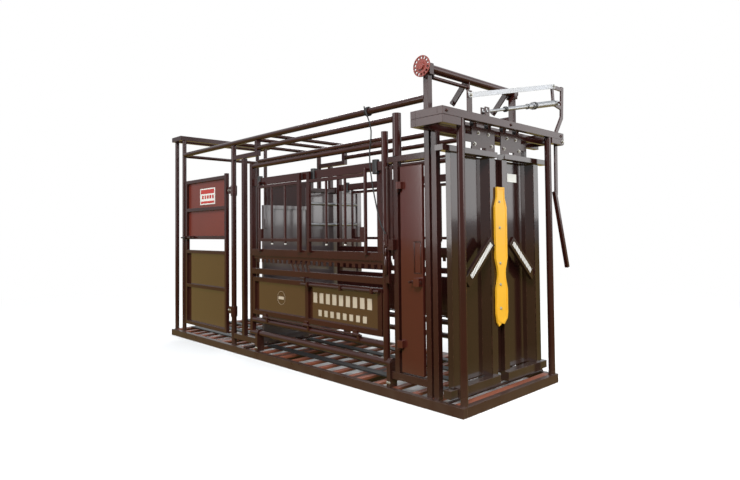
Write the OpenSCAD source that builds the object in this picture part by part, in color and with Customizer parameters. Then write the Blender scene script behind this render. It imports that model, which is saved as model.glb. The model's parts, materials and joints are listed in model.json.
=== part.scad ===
// Cattle squeeze chute: base, portals, sliding head gate, tilting squeeze sides, doors and tailgate.
// Millimetres. +Z up, origin on the ground under the middle of the base, head gate towards -Y.

/* [Overall] */
// Length of the base
length = 5000; // [4400:50:6000]
// Width of the base
base_width = 1430; // [1190:10:1720]
// Height of the head gate portal
header_top = 2312; // [2250:1:2500]
// Height of the round top rails' centre lines
top_rail_z = 2475; // [2440:1:2650]
// Height of the rear portal
rear_top = 2735; // [2700:5:2850]

/* [Base] */
// Height of the base channel
base_h = 78; // [60:1:80]
// Width of the base channel
base_w = 50; // [40:1:60]
// Number of cross members in each half of the base
cross_half = 2; // [1:1:3]
// Spacing of the floor rungs
rung_pitch = 190; // [120:5:300]
// Width of a floor rung
rung_w = 60; // [30:5:80]
// Thickness of a floor rung
rung_t = 22; // [12:1:25]

/* [Tubes] */
// Outside diameter of the round posts and rails
pipe_d = 60; // [48:1:64]
// Side of the square tubes
tube = 50; // [40:1:50]
// Side of the small square tubes of the doors
door_tube = 42; // [30:1:45]
// Thickness of the sheet panels
sheet_t = 3; // [2:0.5:5]

/* [Stations along the side, from the front] */
// Head gate plane
gate_from_front = 159; // [150:1:170]
// Depth of the head gate portal
header_depth = 314; // [300:1:340]
// Front post of each side
side_post_a = 287; // [280:1:300]
// Second post of each side, which carries the shaft on the left
side_post_b = 360; // [350:1:380]
// Neck post
neck_post_station = 709; // [690:1:760]
// Front stile of the squeeze side
squeeze_station = 856; // [846:1:900]
// Length of the squeeze side between its stiles
squeeze_len = 2139; // [1900:1:2500]
// From the squeeze side's rear stile to the tail post
tail_gap = 179; // [160:1:220]
// From the tail post to the hinge post of the rear door
hinge_gap = 244; // [200:1:300]
// Spacing of the two posts of the rear portal
rear_pair = 225; // [180:1:260]

/* [Head gate] */
// Half of the neck gap between the leaves
neck_half = 54; // [45:1:80]
// Width of the leaves' inner stiles
inner_stile = 76; // [60:1:90]
// Width of the leaves' outer stiles
outer_stile = 80; // [60:1:90]
// Depth of the pressed trough in a leaf's sheet
trough = 65; // [30:1:70]
// Width of the yellow neck board
board_w = 174; // [140:1:190]

/* [Squeeze sides] */
// Height of the pivot pipes' centre lines
pivot_z = 277; // [260:1:300]
// Height of the squeeze side's top rail
squeeze_top = 2159; // [2100:1:2200]
// Bottom of the barred windows
window_low = 1320; // [1260:1:1400]
// Top of the barred windows
window_high = 1905; // [1800:1:1910]

/* [Fits] */
// Radial running clearance of pins and sleeves
run_fit = 0.08; // [0.02:0.01:0.1]
// Clearance between pieces that move past each other
slip = 3; // [1:0.5:6]

/* [Hidden] */
$fn = 48;

// colours
paint = [0.32, 0.13, 0.11];
paint_red = [0.42, 0.17, 0.13];
bare = [0.66, 0.67, 0.70];
black = [0.06, 0.06, 0.07];
yellow = [0.93, 0.67, 0.13];

// widths
half_w = base_width / 2;
side_x = half_w - 65;
head_x = half_w + 195;
post_x = half_w - 55;
pr = pipe_d / 2;
hook_r = 8;

// stations along the length
front = -length / 2;
rear = length / 2;
front_post_y = front + 32;
gate_y = front + gate_from_front;
head_y0 = front + 2;
head_y1 = head_y0 + header_depth;
post_a_y = front + side_post_a;
post_b_y = front + side_post_b;
neck_y = front + neck_post_station;
sq_front = front + squeeze_station;
sq_rear = sq_front + squeeze_len;
tail_y = sq_rear + tail_gap;
tailgate_y = (sq_rear + tail_y) / 2;
hinge_y = tail_y + hinge_gap;
rear_out_y = rear - 35;
rear_in_y = rear_out_y - rear_pair;
bracket_front_y = sq_front - 57;
bracket_rear_y = sq_rear - 132;

// heights
beam_h = 60;
beam_w = 50;
head_low = header_top - 2 * beam_h - 2;
beam_low = header_top - beam_h;
inner_rail_z = top_rail_z - 115;
sill_z = 185;
floor_top = base_h + 14;
neck_rail_z = 2010;
squeeze_rail2_z = squeeze_top + 48;
post_top_z = squeeze_top + 107;

// ---------- helpers ----------
module box(x0, x1, y0, y1, z0, z1) {
    translate([x0, y0, z0]) cube([x1 - x0, y1 - y0, z1 - z0]);
}
module rod_x(x0, x1, y, z, r) {
    translate([x0, y, z]) rotate([0, 90, 0]) cylinder(h = x1 - x0, r = r);
}
module rod_y(y0, y1, x, z, r) {
    translate([x, y0, z]) rotate([-90, 0, 0]) cylinder(h = y1 - y0, r = r);
}
module rod_z(z0, z1, x, y, r) {
    translate([x, y, z0]) cylinder(h = z1 - z0, r = r);
}
// flat bar in an XZ plane between two points, of width w, from y0 to y1
module bar_xz(p, q, w, y0, y1) {
    d = q - p;
    run = norm(d);
    translate([p[0], y0, p[1]]) rotate([0, -atan2(d[1], d[0]), 0]) translate([0, 0, -w / 2])
        cube([run, y1 - y0, w]);
}
// flat bar in a YZ plane between two points, of width w, from x0 to x1
module bar_yz(p, q, w, x0, x1) {
    d = q - p;
    run = norm(d);
    translate([x0, p[0], p[1]]) rotate([atan2(d[1], d[0]), 0, 0]) translate([0, 0, -w / 2])
        cube([x1 - x0, run, w]);
}
// one flat strip of width w along a path in an XZ plane, with mitred corners
function turn(v) = [-v[1], v[0]] / norm(v);
function strip_edge(path, w) = let (n = len(path) - 1) [for (i = [0:n])
    let (a = turn(path[max(i, 1)] - path[max(i, 1) - 1]))
    let (b = turn(path[min(i + 1, n)] - path[min(i, n - 1)]), m = a + b)
    path[i] + m * w / (m * m)];
function reversed(list) = [for (i = [len(list) - 1:-1:0]) list[i]];
module strip_xz(path, w, y0, y1) {
    translate([0, y1, 0]) rotate([90, 0, 0]) linear_extrude(y1 - y0) polygon(concat(strip_edge(path, w),
        reversed(strip_edge(path, -w))));
}
module both_sides() {
    children();
    mirror([1, 0, 0]) children();
}
module left_side() {
    mirror([1, 0, 0]) children();
}

// ---------- base ----------
module base_rails() {
    color(paint) both_sides() box(half_w - base_w, half_w, front, rear, 0, base_h);
}
module base_crossmembers() {
    span = rear - front - base_w;
    color(paint) for (i = [-cross_half:cross_half]) {
        y = i * span / (2 * cross_half);
        box(-half_w + base_w, half_w - base_w, y - base_w / 2, y + base_w / 2, 0, base_h);
    }
}
module floor_rungs() {
    inner = half_w - base_w;
    gap = base_w / 2 + rung_w / 2 + 4;
    span = (rear - front - base_w) / (2 * cross_half);
    bay = span - 2 * gap;
    n = floor(bay / rung_pitch);
    color(paint_red) for (b = [-cross_half:cross_half - 1]) for (i = [0:n]) {
        y = b * span + gap + i * bay / n;
        box(-inner, inner, y - rung_w / 2, y + rung_w / 2, base_h - rung_t, base_h);
    }
}
module floor_treads() {
    color(black) for (x = [-420, -140, 140, 420]) box(x - 45, x + 45, head_y1 + 40, tailgate_y - 90,
        base_h, floor_top);
    color(black) for (x = [-420, -140, 140, 420]) box(x - 45, x + 45, tailgate_y + 90, rear - base_w - 20,
        base_h, floor_top);
}
module side_sills() {
    color(paint) {
        box(-side_x - tube / 2, -side_x + tube / 2, bracket_rear_y + 20, hinge_y - pr, sill_z - 30,
            sill_z + 30);
        both_sides() {
            box(side_x - tube / 2, side_x + tube / 2, post_b_y + tube / 2, bracket_front_y - 20,
                sill_z - 30, sill_z + 30);
            box(side_x - tube / 2, side_x + tube / 2, post_b_y + tube / 2, neck_y + 100, neck_rail_z - 25,
                neck_rail_z + 25);
        }
    }
}

// ---------- head gate portal ----------
module front_posts() {
    color(paint) both_sides() rod_z(base_h, beam_low, post_x, front_post_y, pr);
}
module gate_side_posts() {
    color(paint) both_sides() {
        box(side_x - tube / 2, side_x + tube / 2, post_a_y - tube / 2, post_a_y + tube / 2, base_h,
            head_low);
        box(side_x - tube / 2, side_x + tube / 2, post_b_y - tube / 2, post_b_y + tube / 2, base_h,
            head_low + beam_h);
    }
}
module header_beams() {
    color(paint) {
        box(-head_x, head_x, head_y0, head_y0 + beam_w, beam_low, header_top);
        box(-head_x, head_x, head_y1 - beam_w, head_y1, beam_low, header_top);
        box(-head_x, head_x, head_y1 - beam_w, head_y1, head_low, beam_low - 2);
    }
}
module header_ends() {
    y0 = head_y0 + beam_w;
    y1 = head_y1 - beam_w;
    color(paint) {
        box(-head_x, -head_x + beam_w, y0, y1, beam_low, header_top);
        box(head_x - 137, head_x - 87, y0, y1, beam_low, header_top);
        box(-head_x, -head_x + beam_w, y0, y1, head_low, beam_low - 2);
        box(-head_x, -post_x - pr, head_y0, y0, head_low, beam_low - 2);
        // forked bracket that holds the end of the brake rod
        difference() {
            box(brake_c[0] - 28, brake_c[0] + 28, brake_y - 24, brake_y + 24, header_top, brake_c[1] + 34);
            box(brake_c[0] - 40, brake_c[0] + 40, brake_y - 14, brake_y + 14, header_top + 6,
                brake_c[1] + 50);
            box(brake_c[0] - 17, brake_c[0] + 11, brake_y - 30, brake_y + 30, brake_c[1] - 12,
                brake_c[1] + 27);
        }
    }
}
module gate_tracks() {
    color(bare) box(-head_x + beam_w, head_x - beam_w, gate_y - 14, gate_y + 14, track_top - 36, track_top);
    color(paint) both_sides() box(head_x - beam_w - 20, head_x - beam_w, gate_y - 14, head_y1 - beam_w,
        track_top - 36, beam_low);
    color(paint) box(-half_w + 6, half_w - 6, gate_y - 12, gate_y + 12, base_h, base_h + 12);
}
track_top = beam_low - 4;

// ---------- rear portal and rails ----------
module rear_posts() {
    color(paint) both_sides() {
        rod_z(base_h, rear_top - beam_h, side_x, rear_out_y, pr - 3);
        rod_z(base_h, rear_top - beam_h, side_x, rear_in_y, pr - 3);
    }
}
module rear_header() {
    color(paint) {
        for (y = [rear_in_y, rear_out_y]) box(-half_w, half_w, y - beam_w / 2, y + beam_w / 2,
            rear_top - beam_h, rear_top);
        both_sides() box(half_w - 40, half_w, rear_in_y + beam_w / 2, rear_out_y - beam_w / 2,
            rear_top - beam_h, rear_top);
    }
}
module hinge_posts() {
    color(paint) both_sides() rod_z(base_h, top_rail_z - pr, side_x, hinge_y, pr);
    color(paint) left_side() for (z = door_hinge_z) rod_z(z - 70, z - 50.4, side_x, hinge_y, pr + 8);
}
module tail_posts() {
    color(paint) {
        left_side() box(side_x - tube / 2, side_x + tube / 2, tail_y - tube / 2, tail_y + tube / 2,
            sill_z + 30, post_top_z);
        box(side_x - tube / 2, side_x + tube / 2, tail_y - tube / 2, tail_y + tube / 2, base_h, post_top_z);
        // short head tube and the hanger that ties it to the top rail
        both_sides() box(side_x - tube / 2, side_x + tube / 2, bracket_rear_y, hinge_y - pr,
            post_top_z + 4, post_top_z + 54);
        both_sides() box(side_x - tube / 2, side_x + tube / 2, bracket_rear_y, bracket_rear_y + tube,
            post_top_z + 54, top_rail_z - pr);
    }
}
module top_rails() {
    color(paint) both_sides() {
        rod_y(post_b_y + tube / 2, rear_in_y - pr + 3, side_x, top_rail_z, pr);
        rod_y(neck_y + pr + 8, bracket_rear_y, side_x, inner_rail_z, pr - 3);
    }
}
module roof_crossbars() {
    inner = side_x - pr;
    color(paint) for (y = [hinge_y, sq_rear - 5, bracket_rear_y - 200])
        rod_x(-inner, inner, y, top_rail_z, pr - 8);
    color(paint) rod_x(-side_x + pr - 3, side_x - pr + 3, rear_in_y, top_rail_z - 15, pr - 8);
}
module neck_posts() {
    color(paint) both_sides() {
        box(side_x - tube / 2, side_x + tube / 2, neck_y - tube / 2, neck_y + tube / 2, sill_z + 30,
            neck_rail_z - 25);
        rod_z(neck_rail_z + 25, inner_rail_z + pr + 12, side_x, neck_y, pr + 8);
        for (z = neck_hinge_z) hinge_lug(neck_y - tube / 2, z);
    }
}
// lug on a post's front face with the bore for a neck door's pin
module hinge_lug(y_face, z) {
    difference() {
        union() {
            box(side_x, neck_pin_x + 14, y_face - 11, y_face, z - 8, z + 8);
            rod_z(z - 8, z + 8, neck_pin_x, y_face - 11, 14);
        }
        rod_z(z - 20, z + 20, neck_pin_x, y_face - 11, hook_r + run_fit);
    }
}
neck_pin_x = side_x + 40;
neck_hinge_z = [420, 1740];

// ---------- squeeze shaft on its posts ----------
shaft_z = rear_top - 20;
shaft_post_x = half_w - 121;
module shaft_posts() {
    color(paint) {
        box(-side_x - tube / 2, -side_x + tube / 2, post_b_y - tube / 2, post_b_y + tube / 2,
            head_low + beam_h, shaft_z - 60);
        box(-side_x + tube / 2, side_x - tube / 2, post_b_y - tube / 2, post_b_y + tube / 2, head_low,
            head_low + beam_h);
        box(shaft_post_x - tube / 2, shaft_post_x + tube / 2, post_b_y - tube / 2, post_b_y + tube / 2,
            head_low + beam_h, shaft_z - 60);
        for (x = [-side_x, shaft_post_x]) difference() {
            box(x - tube / 2, x + tube / 2, post_b_y - 46, post_b_y + 46, shaft_z - 60, shaft_z + 30);
            rod_x(x - tube, x + tube, post_b_y, shaft_z, shaft_r + run_fit);
        }
    }
}
shaft_r = 35;
module shaft_tube() {
    color(paint) {
        rod_x(-side_x - 60, shaft_post_x + 60, post_b_y, shaft_z, shaft_r);
        for (x = [shaft_arm_1, shaft_arm_2]) {
            bar_yz([post_b_y, shaft_z], [post_b_y + 170, shaft_z - 190], 52, x - 8, x + 8);
            rod_x(x - 22, x + 22, post_b_y + 158, shaft_z - 176, 17);
        }
        rod_x(-side_x + 60, shaft_arm_1, post_b_y, shaft_z - 68, 16);
        box(-side_x + 62, -side_x + 74, post_b_y - 12, post_b_y + 12, shaft_z - 68, shaft_z);
        box(shaft_arm_1 - 5, shaft_arm_1 + 5, post_b_y - 26, post_b_y + 14, shaft_z - 88, shaft_z);
    }
}
shaft_arm_1 = -shaft_post_x / 5;
shaft_arm_2 = shaft_post_x - 80;
module lock_disc() {
    disc_r = 86;
    x0 = -side_x - 76;
    color(paint_red) difference() {
        union() {
            rod_x(x0, x0 + 10, post_b_y, shaft_z, disc_r);
            rod_x(x0 - 14, x0, post_b_y, shaft_z, 30);
            rod_x(x0 + 10, x0 + 16, post_b_y, shaft_z, 46);
        }
        for (i = [0:13]) translate([x0 - 5, post_b_y, shaft_z]) rotate([i * 360 / 14, 0, 0])
            translate([0, -9, 58]) cube([20, 18, 19]);
    }
}

// ---------- head gate leaves ----------
leaf_out = post_x - 5;
leaf_low = 115;
beam_z0 = 2010;
beam_z1 = 2055;
leaf_d = 25;
module leaf_frame() {
    box(neck_half, neck_half + inner_stile, gate_y - leaf_d, gate_y + leaf_d, leaf_low + 75, beam_z0);
    box(leaf_out - outer_stile, leaf_out, gate_y - leaf_d, gate_y + leaf_d, leaf_low + 75, beam_z0);
    box(neck_half, leaf_out + 132, gate_y - leaf_d - 30, gate_y + leaf_d, beam_z0, beam_z1);
    box(neck_half + 6, leaf_out - 35, gate_y - leaf_d - 30, gate_y + leaf_d, leaf_low, leaf_low + 75);
    box(leaf_out - 35, leaf_out + 60, gate_y - leaf_d - 20, gate_y + leaf_d, leaf_low + 5, leaf_low + 70);
}
// folded sheet of a leaf: a trough between the two stiles
module leaf_sheet() {
    x0 = neck_half + inner_stile;
    x3 = leaf_out - outer_stile;
    fold = 44;
    y0 = gate_y - leaf_d + 4;
    y1 = y0 + trough;
    translate([0, 0, leaf_low + 75]) linear_extrude(beam_z0 - leaf_low - 75) polygon([
        [x0, y0], [x0 + fold, y1], [x3 - fold, y1], [x3, y0], [x3, y0 + 2 * sheet_t],
        [x3 - fold + 2, y1 + sheet_t], [x0 + fold - 2, y1 + sheet_t], [x0, y0 + 2 * sheet_t]]);
    // diagonal brace across the front of the trough
    bar_xz([neck_half + inner_stile + 14, 1306], [leaf_out - outer_stile - 75, 985], 92,
        gate_y - leaf_d - 30, gate_y - leaf_d);
}
hanger_y0 = gate_y - 23;
hanger_t = 8;
// hanger plate that stands on the leaf's top beam and carries its two rollers
module leaf_hanger() {
    y1 = hanger_y0 + hanger_t;
    difference() {
        box(neck_half - 8, neck_half + 318, hanger_y0, y1, beam_z1, beam_low - 3);
        for (x = [neck_half + 40, neck_half + 280]) rod_y(hanger_y0 - 5, y1 + 5, x, beam_z1 + 50, 9);
        box(neck_half + 120, neck_half + 200, hanger_y0 - 5, y1 + 5, beam_z1 - 5, beam_z1 + 26);
    }
    box(neck_half + 318, neck_half + 400, hanger_y0, y1, beam_z1 + 60, beam_low - 75);
    for (x = roller_xs) {
        box(x - 17, x + 17, hanger_y0, y1, beam_low - 3, track_top + 30);
        rod_y(hanger_y0 - 10, gate_y + 20, x, track_top + 30.4, 8);
    }
}
roller_xs = [neck_half + 60, neck_half + 265];
module leaf_roller(x) {
    difference() {
        rod_y(gate_y - 15, gate_y + 15, x, track_top + 30.4, 30);
        rod_y(gate_y - 20, gate_y + 20, x, track_top + 30.4, 8 + run_fit);
    }
}
module left_leaf_frame() {
    color(paint) left_side() leaf_frame();
    // flat bar that closes the neck gap behind the board
    color(paint) box(-neck_half, neck_half - slip, gate_y + 8, gate_y + 16, leaf_low + 75, beam_z0);
}
module left_leaf_sheet() {
    color(paint) left_side() leaf_sheet();
}
// upright plate with the slot that the link bar's pin rides in
module left_hanger() {
    color(bare) {
        left_side() leaf_hanger();
        difference() {
            box(link_left[0] - 32, link_left[0] + 32, bracket_y0, bracket_y0 + 8, beam_low + 30,
                link_left[1] + 40);
            box(link_left[0] - 19, link_left[0] + 11, bracket_y0 - 5, bracket_y0 + 20, link_left[1] - 12,
                link_left[1] + 30);
        }
        box(link_left[0] - 32, link_left[0] + 32, bracket_y0 + 8, hanger_y0 + hanger_t, beam_low + 30,
            beam_low + 40);
        box(link_left[0] - 32, link_left[0] + 32, hanger_y0, hanger_y0 + hanger_t, beam_z1, beam_low + 30);
        box(link_left[0] + 32, -neck_half - 318, hanger_y0, hanger_y0 + hanger_t, beam_z1 + 60,
            beam_low - 75);
    }
}
module left_roller_inner() {
    color(black) left_side() leaf_roller(roller_xs[0]);
}
module left_roller_outer() {
    color(black) left_side() leaf_roller(roller_xs[1]);
}
module right_leaf_frame() {
    color(paint) leaf_frame();
}
module right_leaf_sheet() {
    color(paint) leaf_sheet();
}
module right_hanger() {
    color(bare) leaf_hanger();
}
module right_roller_inner() {
    color(black) leaf_roller(roller_xs[0]);
}
module right_roller_outer() {
    color(black) leaf_roller(roller_xs[1]);
}
// wavy plastic neck board on the flat bar
module neck_board() {
    y1 = gate_y - leaf_d - slip;
    h = board_w / 2;
    neck = h * 0.62;
    top = 1765;
    outline = [[neck, top], [neck + 2, top - 90], [h, top - 170], [h, 1160], [neck + 4, 1070],
        [neck, 1030], [neck + 4, 990], [h - 4, 900], [h - 4, 700], [h - 14, 640], [h * 0.35, 602],
        [-h * 0.1, 612], [-h * 0.55, 590], [-h * 0.8, 620], [-h, 700], [-h + 4, 900], [-neck - 4, 990],
        [-neck, 1030], [-neck - 4, 1070], [-h, 1160], [-h, top - 170], [-neck - 2, top - 90], [-neck, top]];
    color(yellow) difference() {
        union() {
            translate([0, y1, 0]) rotate([90, 0, 0]) linear_extrude(14) polygon(outline);
            for (z = board_bolts) rod_y(y1, gate_y + 8, -22, z, 9);
        }
        for (z = board_bolts) rod_y(y1 - 30, y1 - 8, -22, z, 7);
    }
}
board_bolts = [1640, 1420, 1120, 940, 740];

// ---------- head gate lever, link and friction brake ----------
lever_p = [head_x - 25, beam_low - 20];
lever_y0 = front + 64;
lever_t = 16;
link_right = lever_p + [-50, 533];
link_left = lever_p + [-1375, 233];
bracket_y0 = lever_y0;
brake_b = lever_p + [-30, 373];
brake_c = [brake_b[0] - 1190, brake_b[1] - 255];
brake_y = front + 30;
brake_len = norm(brake_b - brake_c);
brake_tilt = atan2(brake_b[1] - brake_c[1], brake_b[0] - brake_c[0]);
pin_r = 12;
module lever_bracket() {
    color(paint) {
        difference() {
            rod_y(head_y0, lever_y0 - 4, lever_p[0], lever_p[1], 35);
            box(0, head_x + 50, head_y0 - 5, lever_y0, beam_low, beam_low + 50);
        }
        box(post_x + pr, lever_p[0], head_y0, lever_y0 - 4, lever_p[1] - 30, beam_low);
        rod_y(lever_y0 - 4, lever_y0 + lever_t + 8, lever_p[0], lever_p[1], pin_r);
        rod_y(lever_y0 + lever_t + 1, lever_y0 + lever_t + 10, lever_p[0], lever_p[1], 20);
    }
}
module lever_arm() {
    y0 = lever_y0;
    y1 = lever_y0 + lever_t;
    low = lever_p + [-8, -500];
    crank = [low, lever_p, lever_p + [20, 113], lever_p + [125, 258], lever_p + [145, 560]];
    color(paint) difference() {
        union() {
            strip_xz(crank, 44, y0, y1);
            strip_xz([lever_p + [185, -1198], low + [-30, 30]], 34, y0 - 9, y1 + 9);
            rod_y(y0 - 3.7, y1 + 0.7, lever_p[0], lever_p[1], 33);
        }
        rod_y(y0 - 5, y1 + 5, lever_p[0], lever_p[1], pin_r + run_fit);
    }
}
// bent flat welded to the lever's top, which carries the link's pin and the brake's pin
module lever_head() {
    y0 = lever_y0;
    y1 = lever_y0 + lever_t;
    color(paint) {
        strip_xz([lever_p + [119.8, 533], link_right, brake_b, lever_p + [107.5, 352]], 36, y0, y1);
        rod_y(link_y0 - 6, y0 + 5, link_right[0], link_right[1], 9);
        rod_y(brake_y - 32, y0 + 5, brake_b[0], brake_b[1], 10);
    }
}
link_y0 = lever_y0 - 13;
module link_bar() {
    tip = 22 * unit(link_right - link_left);
    color(bare) difference() {
        union() {
            strip_xz([link_left - tip, link_right + tip], 40, link_y0, link_y0 + 9);
            rod_y(link_y0 + 3, bracket_y0 + 14, link_left[0], link_left[1], 7);
        }
        rod_y(link_y0 - 5, link_y0 + 20, link_right[0], link_right[1], 9 + run_fit);
    }
}
// parts of the brake lie along its own axis, which starts at the rod's eye
module on_brake_axis() {
    translate([brake_c[0], brake_y, brake_c[1]]) rotate([0, 90 - brake_tilt, 0]) children();
}
module brake_cylinder() {
    color(bare) difference() {
        union() {
            on_brake_axis() {
                translate([0, 0, 800]) cylinder(h = brake_len - 862, r = 28);
                translate([0, 0, 650]) cylinder(h = 150, r = 22);
                translate([0, 0, brake_len - 62]) cylinder(h = 34, r = 16);
            }
            rod_y(brake_y - 12, brake_y + 12, brake_b[0], brake_b[1], 22);
            on_brake_axis() translate([-10, -12, brake_len - 40]) cube([20, 24, 30]);
        }
        on_brake_axis() translate([0, 0, 640]) cylinder(h = brake_len - 740, r = 17.3);
        rod_y(brake_y - 40, brake_y + 40, brake_b[0], brake_b[1], 10 + run_fit);
    }
    color(black) on_brake_axis() difference() {
        translate([0, 0, 745]) cylinder(h = 50, r = 33);
        translate([0, 0, 700]) cylinder(h = 150, r = 22);
    }
}
module brake_rod() {
    color(bare) {
        on_brake_axis() {
            translate([0, 0, 12]) cylinder(h = 300, r = 12);
            translate([0, 0, 300]) cylinder(h = 590, r = 17);
            translate([0, 0, 292]) cylinder(h = 24, r = 22);
        }
        rod_y(brake_y - 11, brake_y + 11, brake_c[0], brake_c[1], 17);
        rod_y(brake_y - 26, brake_y + 26, brake_c[0], brake_c[1], 8);
    }
}

// ---------- squeeze sides ----------
pivot_pr = pr;
win_x = side_x + tube / 2 + slip + 15;
sq_mid = (sq_front + sq_rear) / 2;
drop_mid = sq_mid + 35.5;
win_hinge_rear = sq_rear - 205;
win_latch_rear = sq_mid + 120.5;
win_latch_front = sq_mid - 38.5;
win_hinge_front = sq_front + 206;
mid_z0 = 1142;
mid_z1 = 1217;
band_z0 = 1932;
band_z1 = 2012;
low_z0 = 940;
low_z1 = 1000;
foot_z = 420;
module squeeze_frame() {
    y0 = sq_front + pr;
    y1 = sq_rear - tube / 2;
    box(side_x - tube / 2, side_x + tube / 2, sq_rear - tube / 2, sq_rear + tube / 2, pivot_z + 12,
        squeeze_top + 30);
    rod_z(pivot_z + 12, post_top_z, side_x, sq_front, pr);
    rod_y(sq_front, y1, side_x, squeeze_top, pr - 4);
    rod_y(sq_front, y1 - 110, side_x, squeeze_rail2_z, pr - 12);
    for (y = [sq_front + 500, y1 - 200]) box(side_x - 6, side_x + 6, y - 20, y + 20, squeeze_top,
        squeeze_rail2_z);
    box(side_x - 8, side_x + 8, sq_front, y1, band_z0, band_z1);
    box(side_x - tube / 2, side_x + tube / 2, sq_front, y1, mid_z0, mid_z1);
    box(side_x - tube / 2, side_x + tube / 2, sq_front, y1, low_z0, low_z1);
    rod_y(sq_front, y1, side_x, foot_z, pr);
    rod_y(bracket_front_y - 20, sq_rear + tube / 2, side_x, pivot_z, pivot_pr);
    // wide flat behind the front stile, above the middle rail
    box(side_x - 14, side_x - 14 + sheet_t, sq_front - 76, sq_front + 115, mid_z1 - 20, band_z1 - 40);
    // toothed strip under the middle rail, and the slanted slats behind it
    box(side_x + 4, side_x + 10, sq_front, y1, mid_z0 - 34, mid_z0);
    n = floor((y1 - y0) / 84);
    for (i = [0:n - 1]) box(side_x + 4, side_x + 10, y0 + 24 + i * 84, y0 + 64 + i * 84, mid_z0 - 72,
        mid_z0 - 34);
    for (i = [0:3]) bar_yz([y1 - 760 - i * 85, low_z1 - 6], [y1 - 700 - i * 85, mid_z0 + 6], 26,
        side_x - 14, side_x - 4);
    // window hinge lugs
    for (y = [win_hinge_rear, win_hinge_front]) {
        window_lug(y, mid_z1 - 24, mid_z1 - 8);
        window_lug(y, band_z0 + 14, band_z0 + 30);
    }
    // hinge pin of the drop panel and the lugs that carry it
    for (y = drop_lugs) {
        box(side_x, drop_x + 8, y - 14, y + 14, foot_z, drop_z);
        rod_y(y - 14, y + 14, drop_x, drop_z, 14);
    }
    rod_y(drop_lugs[0] - 40, drop_lugs[2] + 40, drop_x, drop_z, hook_r);
}
module window_lug(y, z0, z1) {
    difference() {
        union() {
            box(side_x, win_x, y - 14, y + 14, z0, z1);
            rod_z(z0, z1, win_x, y, 14);
        }
        rod_z(z0 - 5, z1 + 5, win_x, y, hook_r + run_fit);
    }
}
// barred window gate from its hinge stile at y0 to its latch stile at y1
module window_gate(y0, y1) {
    dir = sign(y1 - y0);
    low = mid_z1 - 6;
    rod_z(low, band_z0 + 12, win_x, y0, 16);
    rod_z(mid_z1 - 30, band_z0 + 40, win_x, y0, hook_r);
    box(win_x - 15, win_x + 15, min(y0, y1), max(y0, y1), window_low - 15, window_low + 15);
    box(win_x - 15, win_x + 15, min(y0, y1), max(y0, y1), window_high - 15, window_high + 15);
    box(win_x - 15, win_x + 15, y1 - 20, y1 + 20, mid_z1 - 20, band_z1 - 12);
    for (i = [1:2]) rod_z(window_low - 34, window_high, win_x, y0 + i * (y1 - y0) / 3, 13);
    box(win_x - 15, win_x + 15, min(y0, y0 + dir * 62), max(y0, y0 + dir * 62), window_low,
        window_low + 120);
}
drop_x = side_x + 30;
drop_z = foot_z + 50;
drop_lugs = [sq_front + 330, sq_mid + 0.5, sq_rear - 329];
module drop_panel() {
    y0 = sq_front + pr + slip + 2;
    y1 = sq_rear - tube / 2 - slip - 2;
    z0 = drop_z + 18;
    z1 = low_z0 - 36;
    mid = drop_mid;
    x0 = side_x - 20;
    x1 = side_x + 22;
    difference() {
        union() {
            box(x0, x1, y0, y0 + 52, z0, z1);
            box(x0, x1, y1 - 44, y1, z0, z1);
            box(x0, x1, mid - 25, mid + 25, z0, z1);
            box(x0, x1, y0, y1, z0, z0 + 50);
            box(x0, x1, y0, y1, z1 - 48, z1);
            box(side_x - 10, side_x - 10 + sheet_t, y0, y1, z0, z1);
            for (y = drop_lugs) {
                rod_y(y + 15, y + 75, drop_x, drop_z, 15);
                box(x1 - 12, drop_x + 4, y + 15, y + 75, drop_z, z0 + 20);
            }
        }
        for (y = drop_lugs) rod_y(y + 10, y + 80, drop_x, drop_z, hook_r + run_fit);
    }
    // guide eyes of the sliding latch
    for (y = [mid - 60, mid - 560, y0 + 90]) difference() {
        box(x1, latch_x + 24, y - 12, y + 12, latch_z - 24, latch_z + 24);
        rod_y(y - 20, y + 20, latch_x, latch_z, latch_r + run_fit);
    }
}
latch_x = side_x + 46;
latch_z = low_z0 - 62;
latch_r = 15;
module drop_latch() {
    mid = drop_mid;
    rod_y(sq_front + 44, mid + 60, latch_x, latch_z, latch_r);
    box(latch_x - 8, latch_x + 8, mid - 6, mid + 6, latch_z, latch_z + 66);
    rod_y(mid - 6, mid + 60, latch_x, latch_z + 60, 11);
}
module left_squeeze_frame() {
    color(paint) left_side() squeeze_frame();
}
module right_squeeze_frame() {
    color(paint) squeeze_frame();
}
module left_rear_window() {
    color(paint) left_side() window_gate(win_hinge_rear, win_latch_rear);
}
module left_front_window() {
    color(paint) left_side() window_gate(win_hinge_front, win_latch_front);
}
module right_rear_window() {
    color(paint) window_gate(win_hinge_rear, win_latch_rear);
}
module right_front_window() {
    color(paint) window_gate(win_hinge_front, win_latch_front);
}
module left_drop_panel() {
    color(paint) left_side() drop_panel();
}
module right_drop_panel() {
    color(paint) drop_panel();
}
module left_drop_latch() {
    color(bare) left_side() drop_latch();
}
module right_drop_latch() {
    color(bare) drop_latch();
}
module pivot_brackets() {
    color(paint) both_sides() for (y = [bracket_front_y, bracket_rear_y]) difference() {
        union() {
            box(side_x - 44, side_x + 44, y - 20, y + 20, base_h, pivot_z);
            rod_y(y - 20, y + 20, side_x, pivot_z, 44);
        }
        rod_y(y - 30, y + 30, side_x, pivot_z, pivot_pr + run_fit);
    }
}
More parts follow.
